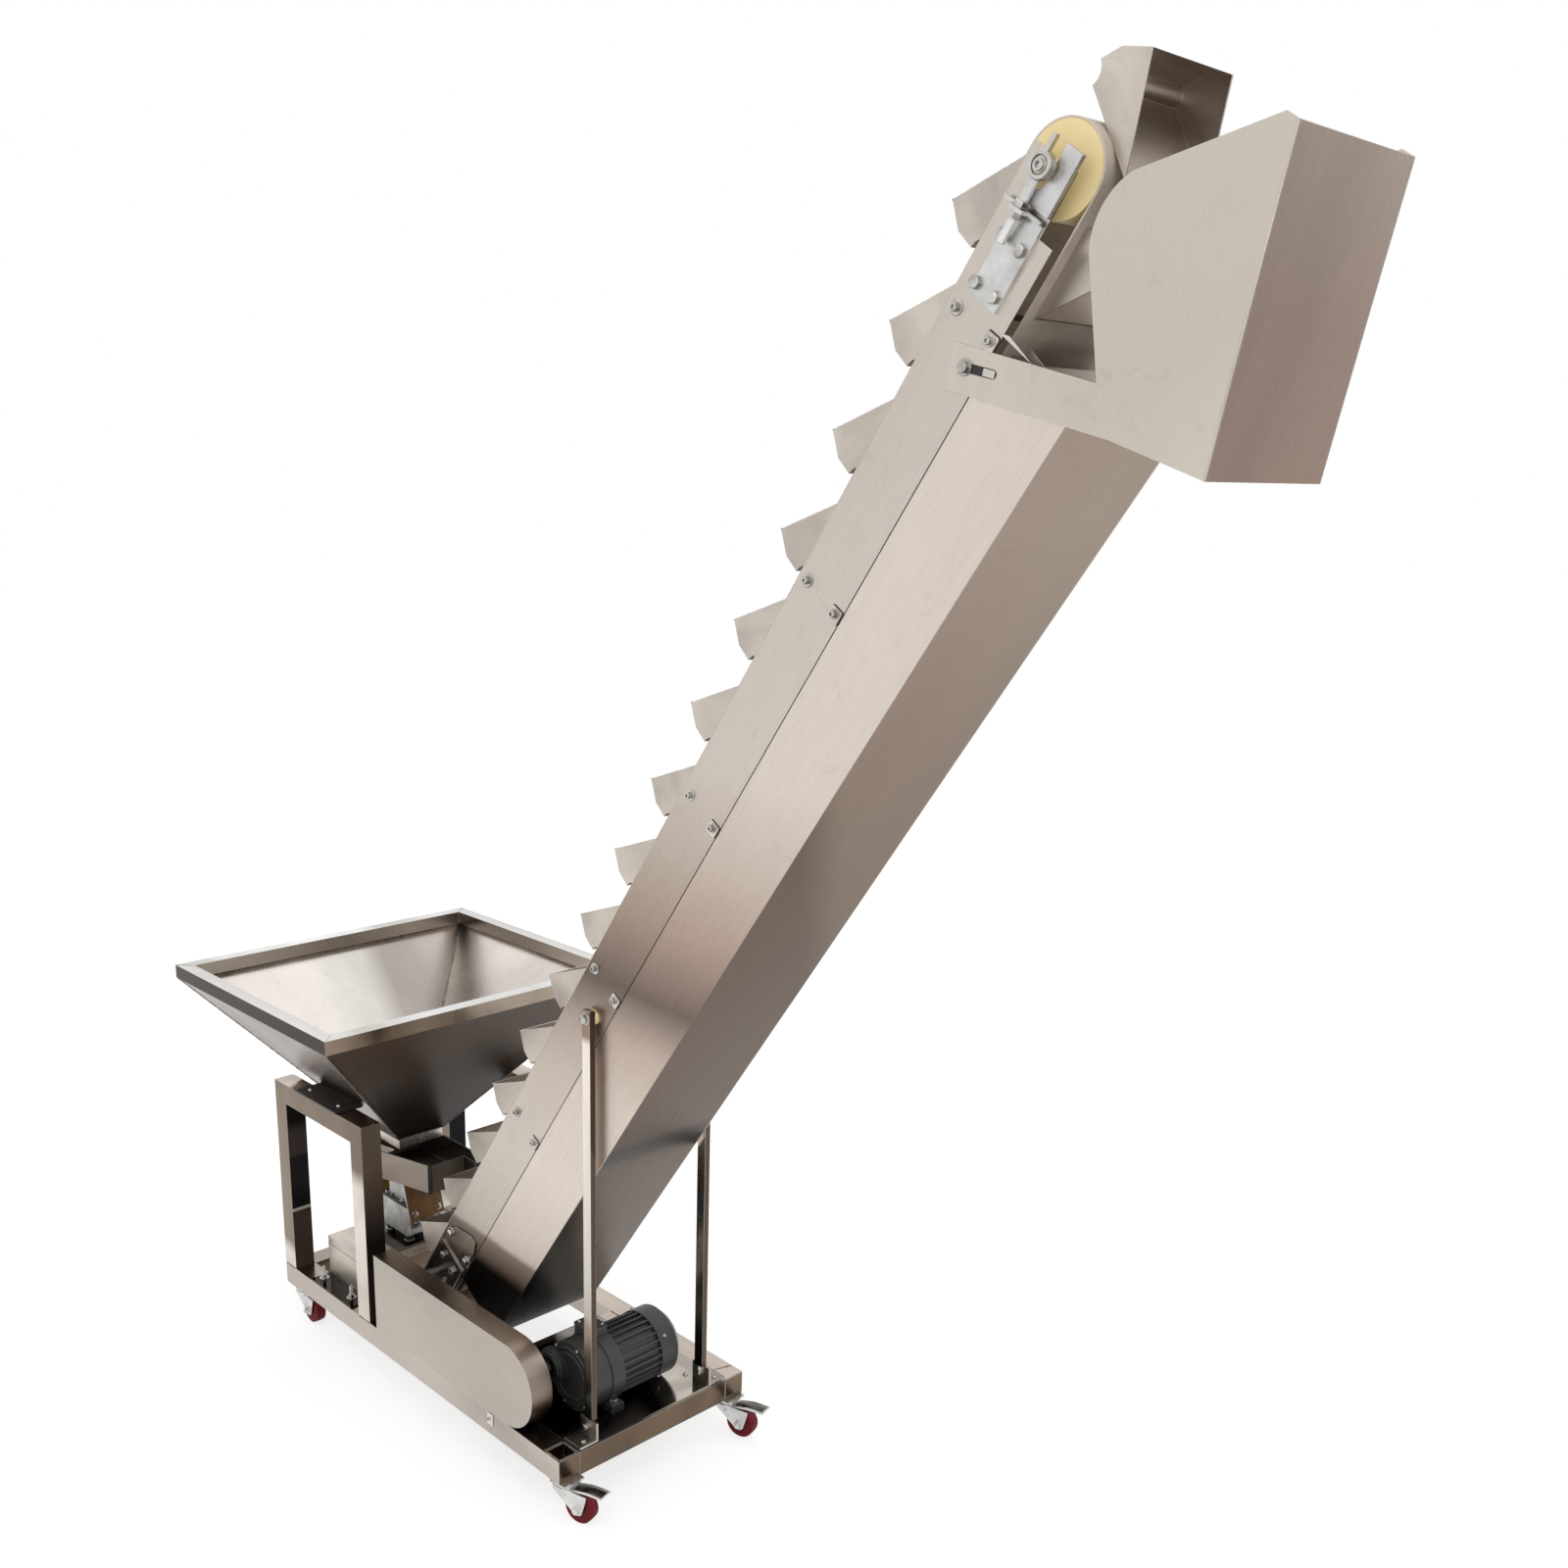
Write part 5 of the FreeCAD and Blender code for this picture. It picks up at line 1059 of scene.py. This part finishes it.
class ELEVATOR_OT_hopper_fittings(Making, bpy.types.Operator):
    """Adds the corner flanges and welds of the hopper, and the welds of its rim and collar"""

    bl_idname = "elevator.hopper_fittings"
    bl_label = "Hopper Fittings"

    def execute(self, context):
        welds, flanges = Form(), Form()
        for seed, (along, side) in enumerate(((-1, -1), (-1, 1), (1, -1), (1, 1)), 51):
            self.corner_welds(welds, along, side, seed)
            self.corner_flange(flanges, along, side)
        for side in (-1, 1):
            y = side * 47
            welds.bead(base(102, y, HOPPER_FOOT), base(181, y, HOPPER_FOOT), 1.2, 54 + side)
            x = HOPPER_MIDDLE + side * 40
            welds.bead(base(x, -46, HOPPER_FOOT), base(x, 46, HOPPER_FOOT), 1.2, 57 + side)
        welds.save("hopper_welds", "brushed_sheet", "weld_bead", angle=60)
        flanges.save("hopper_corner_flanges", "brushed_sheet", "hopper_sheet")
        return {"FINISHED"}

    def corner_welds(self, welds, along, side, seed):
        def corner(x, y, z):
            return base(HOPPER_MIDDLE + along * x, side * y, z)

        welds.bead(corner(265.5, 309, 667), corner(40, 47, HOPPER_FOOT), 1.4, seed)
        welds.bead(corner(262, 305.5, 666), corner(37.5, 44.5, 376), 2.2, seed + 10)
        welds.bead(corner(241.3, 284.8, 668), corner(241.3, 284.8, 690), 1.2, seed + 20)
        welds.bead(corner(266.5, 310, 691), corner(241.5, 285, 691), 0.5, seed + 30)

    def corner_flange(self, flanges, along, side):
        """A narrow flange folded along a sloping corner of the hopper."""
        top = base(HOPPER_MIDDLE + along * 264, side * 307.5, 664)
        low = base(HOPPER_MIDDLE + along * 40.5, side * 47.5, 376)
        out = Vector((along, 0, -0.5)).normalized()
        reach = (low - top).normalized().cross(out).normalized() * 7
        if reach.y * side > 0:
            reach = -reach
        lift = out * 0.9
        section = (lift * 0.1, reach + lift * 0.1, reach + lift, lift)
        flanges.solid([[flanges.mesh.verts.new(point + shift) for shift in section]
                       for point in (top, top.lerp(low, 0.33), top.lerp(low, 0.66), low)])


class ELEVATOR_OT_feeder_fittings(Making, bpy.types.Operator):
    """Adds the feeder's bolts, its black plate, its spring strips and the tray's corner strip"""

    bl_idname = "elevator.feeder_fittings"
    bl_label = "Feeder Fittings"

    def execute(self, context):
        strip, plates, bolts, clamps, bracket = Form(), Form(), Form(), Form(), Form()
        strip.block(Matrix.Translation(base(261.6, -34.3, 291)) @ turned_by(-37.3), 3.0, 8.0, 54.0, 1.0)
        strip.save("tray_strip", "black_plate", "rubber_black")
        plates.block(Matrix.Translation(base(134, 0, 230)), 86, 70, 4.5, 2)
        plates.block(Matrix.Translation(base(169.5, 0, 234)), 12, 46, 56, 1)
        plates.save("feeder_plates", "black_plate", "black_paint")
        for x in (100, 118, 150):
            for y in (-27, 27):
                hex_bolt(bolts, facing(base(x, y, 234.5), UP, x), 8.0, 3.6, 5.4)
        self.spring_clamps(clamps, bolts)
        clamps.save("spring_strips", "cast_grey", "bright_steel")
        bolts.save("feeder_bolts", "plain_steel", "bright_steel")
        on_tray = Matrix.Translation(base(140, -55, 344.8)) @ Matrix.Rotation(0.2, 4, "Z")
        bracket.block(on_tray, 40, 16, 1.6, 2)
        bracket.save("tray_bracket", "brushed_sheet", "tab_sheet")
        self.mounts()
        return {"FINISHED"}

    def spring_clamps(self, clamps, bolts):
        """The strips and bolts that hold the front spring at its foot and its head."""
        lean = math.tan(math.radians(16))
        out = Vector((1, 0, lean))
        for y in (-26, 26):
            hex_bolt(bolts, facing(base(199.2 - 25 * lean, y, 222), out, 0.3), 9.0, 4.0, 6.4)
        for height, edge in ((204, 14), (284, 12)):
            place = aligned(base(199 - (height - 197) * lean, 0, height), out, ACROSS_BASE)
            clamps.block(place, 74, edge, 2.2, 1)
            for y in (-24, 24):
                hex_bolt(bolts, place @ moved(y, 0, 2.2), 9.0, 4.0, 6.4)
        clamps.bar([base(197.5, -37.4, 197), base(197.5 - 94 * lean, -37.4, 291)], 1.5)

    def mounts(self):
        """The metal caps of the rubber feet."""
        caps = Form()
        profile = [(9.2, 0), (9.4, 0.4), (9.4, 1.3), (9.0, 1.6)]
        for x in (102, 166):
            for y in (-24, 24):
                for level in (160, 170.4):
                    caps.turned(Matrix.Translation(base(x, y, level)), profile, 24)
        caps.save("feet_caps", "galvanized", "zinc_plate")


class ELEVATOR_OT_drive_fittings(Making, bpy.types.Operator):
    """Adds the drive chain with the sprockets' teeth, and the motor's screws, rings and box lid"""

    bl_idname = "elevator.drive_fittings"
    bl_label = "Drive Fittings"

    def execute(self, context):
        motor_axle = base(710, -174.5, 172)
        drive_axle = incline(DRIVE_PLACE, -174.5, PULLEY_DEPTH)
        self.teeth("motor_shaft", motor_axle, 34.0, 17, "plain_steel")
        self.teeth("drive_pulley", drive_axle, 20.0, 10, "cream_nylon")
        self.chain(motor_axle, drive_axle)
        self.motor_rings()
        self.motor_screws()
        self.motor_lid()
        return {"FINISHED"}

    def teeth(self, body, axle, radius, count, slot):
        form = Form()
        tooth = [(-1.5, -4.2), (1.2, -3.0), (4.6, -1.0), (4.6, 1.0), (1.2, 3.0), (-1.5, 4.2)]
        for number in range(count):
            turn = Matrix.Rotation(math.tau * number / count, 4, "Z")
            form.slab(facing(axle, NEAR) @ turn @ moved(radius), tooth, -2.6, 2.6, 0.3)
        hub = radius * 0.55
        form.turned(facing(axle, NEAR), [(hub, 3.6), (hub, 5.2), (radius * 0.5, 5.8), (0, 5.8)], 28)
        form.save(f"{body}_teeth", slot, "bright_steel", body)

    def chain(self, first, second):
        """A roller chain round both sprockets, as one fixed loop."""
        links = Form()
        path = self.path(first, second, 38.5, 24.5)
        for index, (here, after) in enumerate(zip(path, path[1:] + path[:1])):
            middle = (here + after) / 2
            wide = 5.6 if index % 2 else 4.2
            for level in (-wide, wide):
                place = aligned(middle + Vector((0, level, 0)), NEAR, after - here)
                links.slab(place, rectangle((after - here).length + 6.5, 7.0, 3.4, 3), -0.6, 0.6, 0.2)
            links.turned(facing(here + Vector((0, 6.6, 0)), NEAR), [(1.9, 0), (1.9, 13.2)], 8)
        links.save("drive_chain", "plain_steel", "bright_steel")

    def path(self, first, second, big, small):
        """Pin places along the loop, evenly spaced."""
        gap = second - first
        away = Vector((gap.x, 0, gap.z)).normalized()
        side = Vector((-away.z, 0, away.x))
        lean = math.asin((big - small) / math.hypot(gap.x, gap.z))
        runs = []
        for sign in (1, -1):
            normal = side * sign * math.cos(lean) + away * math.sin(lean)
            runs.append((first + normal * big, second + normal * small))
        (start_a, end_a), (start_b, end_b) = runs
        line = [start_a.lerp(end_a, step / 60) for step in range(61)]
        line += self.arc(second, end_a, end_b, small, first)
        line += [end_b.lerp(start_b, step / 60) for step in range(61)]
        line += self.arc(first, start_b, start_a, big, second)
        closed = line + line[:1]
        lengths = [0.0]
        for here, after in zip(closed, closed[1:]):
            lengths.append(lengths[-1] + (after - here).length)
        total = lengths[-1]
        count = 2 * round(total / 25.4)
        pins = []
        for number in range(count):
            goal = total * number / count
            index = next(i for i in range(len(lengths) - 1) if lengths[i + 1] >= goal)
            share = (goal - lengths[index]) / max(lengths[index + 1] - lengths[index], 1e-6)
            pins.append(closed[index].lerp(closed[index + 1], share))
        return pins

    def arc(self, centre, start, end, radius, other):
        """Points round a sprocket from one side to the other, on the side that is away from the other one."""
        first = math.atan2(start.z - centre.z, start.x - centre.x)
        last = math.atan2(end.z - centre.z, end.x - centre.x)
        out = math.atan2(centre.z - other.z, centre.x - other.x)
        span = (last - first) % math.tau
        if (out - first) % math.tau > span:
            span -= math.tau
        turns = [first + span * step / 24 for step in range(1, 24)]
        return [centre + Vector((radius * math.cos(turn), 0, radius * math.sin(turn))) for turn in turns]

    def motor_rings(self):
        rings = Form()
        front = facing(base(750, -94, 168), NEAR)
        nose = facing(base(710, -104, 172), NEAR)
        end = facing(base(750, 96, 168), -NEAR)
        rings.loop(front, [(47, 0), (50, 0), (50, 1.8), (49, 2.6), (46, 2.6), (45.4, 1.6)], 48)
        rings.loop(front, [(36, 0), (41, 0), (41, 2.8), (40, 3.6), (36.6, 3.6), (36, 2.8)], 48)
        rings.loop(nose, [(17, 0), (29, 0), (28.2, 1.6), (25, 2.2), (24.6, 3.6), (23.8, 4.4), (17.4, 4.4),
                          (17, 3.4)],
                   40)
        for radius in (14, 22, 30, 38):
            rings.loop(end, [(radius - 2.2, 0.0), (radius - 1.8, 0.7), (radius + 1.8, 0.7),
                             (radius + 2.2, 0.0)], 40)
        rings.save("motor_rings", "motor_grey", "motor_paint")

    def motor_screws(self):
        def way(degrees):
            return Vector((math.cos(math.radians(degrees)), 0, math.sin(math.radians(degrees))))

        screws = Form()
        for angle in (35, 125, 215, 305):
            button_screw(screws, facing(base(750, 62, 168) + way(angle) * 57.9, way(angle)), 3.4)
        for angle in range(0, 360, 60):
            socket_screw(screws, facing(base(750, -94, 168) + way(angle + 12) * 54, NEAR, angle), 3.2, 2.6)
        for x in (728, 758):
            for y in (-59, -36):
                button_screw(screws, facing(base(x, y, 242.4), UP), 2.4)
        screws.save("motor_screws", "plain_steel", "bright_steel")

    def motor_lid(self):
        lid = Form()
        lid.block(Matrix.Translation(base(743, -47.5, 238)), 45, 36, 4.4, 3, 0.8)
        gland = facing(base(722, -47.5, 229), -ALONG_BASE)
        lid.hexagon(gland, 13, 4.5)
        lid.turned(gland @ moved(0, 0, 4.5), [(5.6, 0), (5.6, 3), (4.6, 7), (3.4, 7.4), (0, 7.2)], 18)
        for x in (704, 796):
            lid.block(Matrix.Translation(base(x, -41.5, 120)), 17, 24, 1.6, 4)
        lid.save("motor_lid", "motor_grey", "motor_paint")


class ELEVATOR_OT_caster_fittings(Making, bpy.types.Operator):
    """Adds treads, hubs, axle nuts, ball races, rivets and pedal ribs of the four casters"""

    bl_idname = "elevator.caster_fittings"
    bl_label = "Caster Fittings"

    TRAIL = 30
    AXLE_HEIGHT = 25
    FORK_FACE = 14.2

    def execute(self, context):
        for end, x, turn in (("hopper", 30, 0.0), ("motor", 837, 15.0)):
            for side, y in (("near", -172), ("far", 172)):
                swivel = Matrix.Translation(base(x, y, 0)) @ turned_by(turn)
                self.wheel(f"caster_wheel_{end}_{side}", swivel)
                self.fork(f"caster_fork_{end}_{side}", swivel)
                self.plate(f"caster_plate_{end}_{side}", swivel)
        return {"FINISHED"}

    def wheel(self, body, swivel):
        tread, hub = Form(), Form()
        across = swivel @ moved(self.TRAIL, 0, self.AXLE_HEIGHT) @ turned_by(90, "X")
        tread.loop(across, [(23.0, -9.15), (24.4, -8.9), (25.2, -7.4), (25.45, -4), (25.55, 0), (25.45, 4),
                            (25.2, 7.4), (24.4, 8.9), (23.0, 9.15), (18.4, 9.2), (18.4, -9.2)], 56)
        tread.save(f"{body}_tread", "wheel_red", "tread_red", body)
        for turn in (180, 0):
            face = across @ turned_by(turn, "X")
            hub.loop(face, [(4.3, 9.0), (18.3, 9.0), (18.0, 9.4), (15.6, 9.4), (14.8, 9.1), (8.2, 9.1),
                            (7.6, 9.9), (4.4, 9.9)], 40)
            for number in range(5):
                spoke = face @ turned_by(72 * number) @ moved(11.4, 0, 9.0)
                hub.block(spoke, 7.5, 2.2, 0.7, 0.6, 0.2)
        hub.save(f"{body}_hub", "wheel_red", "tread_red", body)

    def fork(self, body, swivel):
        metal, pressed = Form(), Form()
        axle = swivel @ moved(self.TRAIL, 0, self.AXLE_HEIGHT)
        for way in (-1, 1):
            self.leg(metal, swivel, way)
            face = axle @ turned_by(90 * way, "X") @ moved(0, 0, self.FORK_FACE)
            metal.turned(face, [(7.6, 0), (7.6, 1.0), (7.0, 1.5)], 22)
            metal.hexagon(face @ moved(0, 0, 1.5), 10.5, 4.6)
            metal.turned(face @ moved(0, 0, 6.1), [(2.8, 0), (2.8, 1.4), (2.2, 2.0)], 12)
            rivet = swivel @ moved(6, 0, 43) @ turned_by(90 * way, "X") @ moved(0, 0, self.FORK_FACE)
            metal.turned(rivet, [(3.2, 0), (3.0, 1.0), (1.8, 1.8), (0, 2.0)], 16)
        metal.loop(swivel @ moved(0, 0, 50.2), [(13.2, 1.8), (17.6, 1.8), (18.2, 2.6), (18.2, 3.4),
                                                (17.4, 4.0), (16.6, 3.9), (13.2, 3.9)], 40)
        self.pedal(metal, pressed, swivel)
        metal.save(f"{body}_metal", "galvanized", "zinc_plate", body)
        pressed.save(f"{body}_pedal", "galvanized", "pedal_steel", body)

    def leg(self, form, swivel, way):
        """A pressed side of the fork, wide under the race and round at the axle."""
        outline = [(-14, 52.6), (-13, 46), (6, 33), (19.5, 22)]
        for angle in range(210, 345, 15):
            outline.append((self.TRAIL + 10 * math.cos(math.radians(angle)),
                            self.AXLE_HEIGHT + 10 * math.sin(math.radians(angle))))
        outline += [(41, 27), (46, 44), (47, 52.6)]
        form.solid([form.ring(swivel, [(x + (18 - x) * inset / 30, way * level, z + (38 - z) * inset / 20)
                                       for x, z in outline])
                    for level, inset in ((12.6, 0.0), (13.6, 0.0), (self.FORK_FACE, 0.7))])

    def pedal(self, form, pressed, swivel):
        """The pedal's pressed tread, its side flanges and its upturned tip."""
        stations = ((20, 54.1, 0.6), (34, 56.2, 2.0), (46, 58.0, 2.6), (60, 58.8, 2.6), (74, 59.6, 1.4))
        for y, width, into in ((0, 20, pressed), (-11.2, 1.8, form), (11.2, 1.8, form)):
            into.solid([into.ring(swivel, [(x, y - width / 2, z), (x, y + width / 2, z),
                                           (x, y + width * 0.3, z + high), (x, y - width * 0.3, z + high)])
                        for x, z, high in stations])
        tip = ((73, 58.6), (76.4, 60.6), (76.0, 62.6), (72.6, 60.8))
        form.solid([form.ring(swivel, [(x, y, z) for x, z in tip]) for y in (-11.6, 11.6)])

    def plate(self, name, swivel):
        """The upper race, its balls and the plate's four screws."""
        metal = Form()
        metal.loop(swivel @ moved(0, 0, 56.8), [(15.9, 0), (18.4, 0.3), (18.9, 1.0), (18.6, 2.0), (17.2, 2.6),
                                                (15.9, 2.6)], 40)
        metal.loop(swivel @ moved(0, 0, 59.8), [(15.9, 0), (19.8, 0.2), (20.2, 0.9), (19.6, 2.1),
                                                (15.9, 2.2)], 40)
        for x in (-15, 15):
            for y in (-15, 15):
                metal.turned(swivel @ moved(x, y, 59.4), [(3.6, 0), (4.2, 0.5), (4.2, 2.6)], 14)
        metal.save(name, "galvanized", "zinc_plate")


class ELEVATOR_PT_panel(bpy.types.Panel):
    """Lists the operators in the order in which they run"""

    bl_idname = "ELEVATOR_PT_panel"
    bl_label = "Bucket Elevator"
    bl_space_type = "VIEW_3D"
    bl_region_type = "UI"
    bl_category = "Elevator"

    def draw(self, context):
        for step in STEPS:
            self.layout.operator(step.bl_idname)


STEPS = (ELEVATOR_OT_stage, ELEVATOR_OT_looks, ELEVATOR_OT_casing_screws, ELEVATOR_OT_takeup_fittings,
         ELEVATOR_OT_bucket_bolts, ELEVATOR_OT_base_fittings, ELEVATOR_OT_hopper_fittings,
         ELEVATOR_OT_feeder_fittings, ELEVATOR_OT_drive_fittings, ELEVATOR_OT_caster_fittings)
CLASSES = (StageSizes, FittingSizes, *STEPS, ELEVATOR_PT_panel)


def register():
    for item in CLASSES:
        bpy.utils.register_class(item)
    bpy.types.Scene.elevator_stage = PointerProperty(type=StageSizes)
    bpy.types.Scene.elevator_fittings = PointerProperty(type=FittingSizes)


def unregister():
    del bpy.types.Scene.elevator_fittings
    del bpy.types.Scene.elevator_stage
    for item in reversed(CLASSES):
        bpy.utils.unregister_class(item)


def main():
    register()
    bpy.ops.elevator.stage()
    bpy.ops.elevator.looks()
    bpy.ops.elevator.casing_screws()
    bpy.ops.elevator.takeup_fittings()
    bpy.ops.elevator.bucket_bolts()
    bpy.ops.elevator.base_fittings()
    bpy.ops.elevator.hopper_fittings()
    bpy.ops.elevator.feeder_fittings()
    bpy.ops.elevator.drive_fittings()
    bpy.ops.elevator.caster_fittings()


if __name__ == "__main__":
    main()
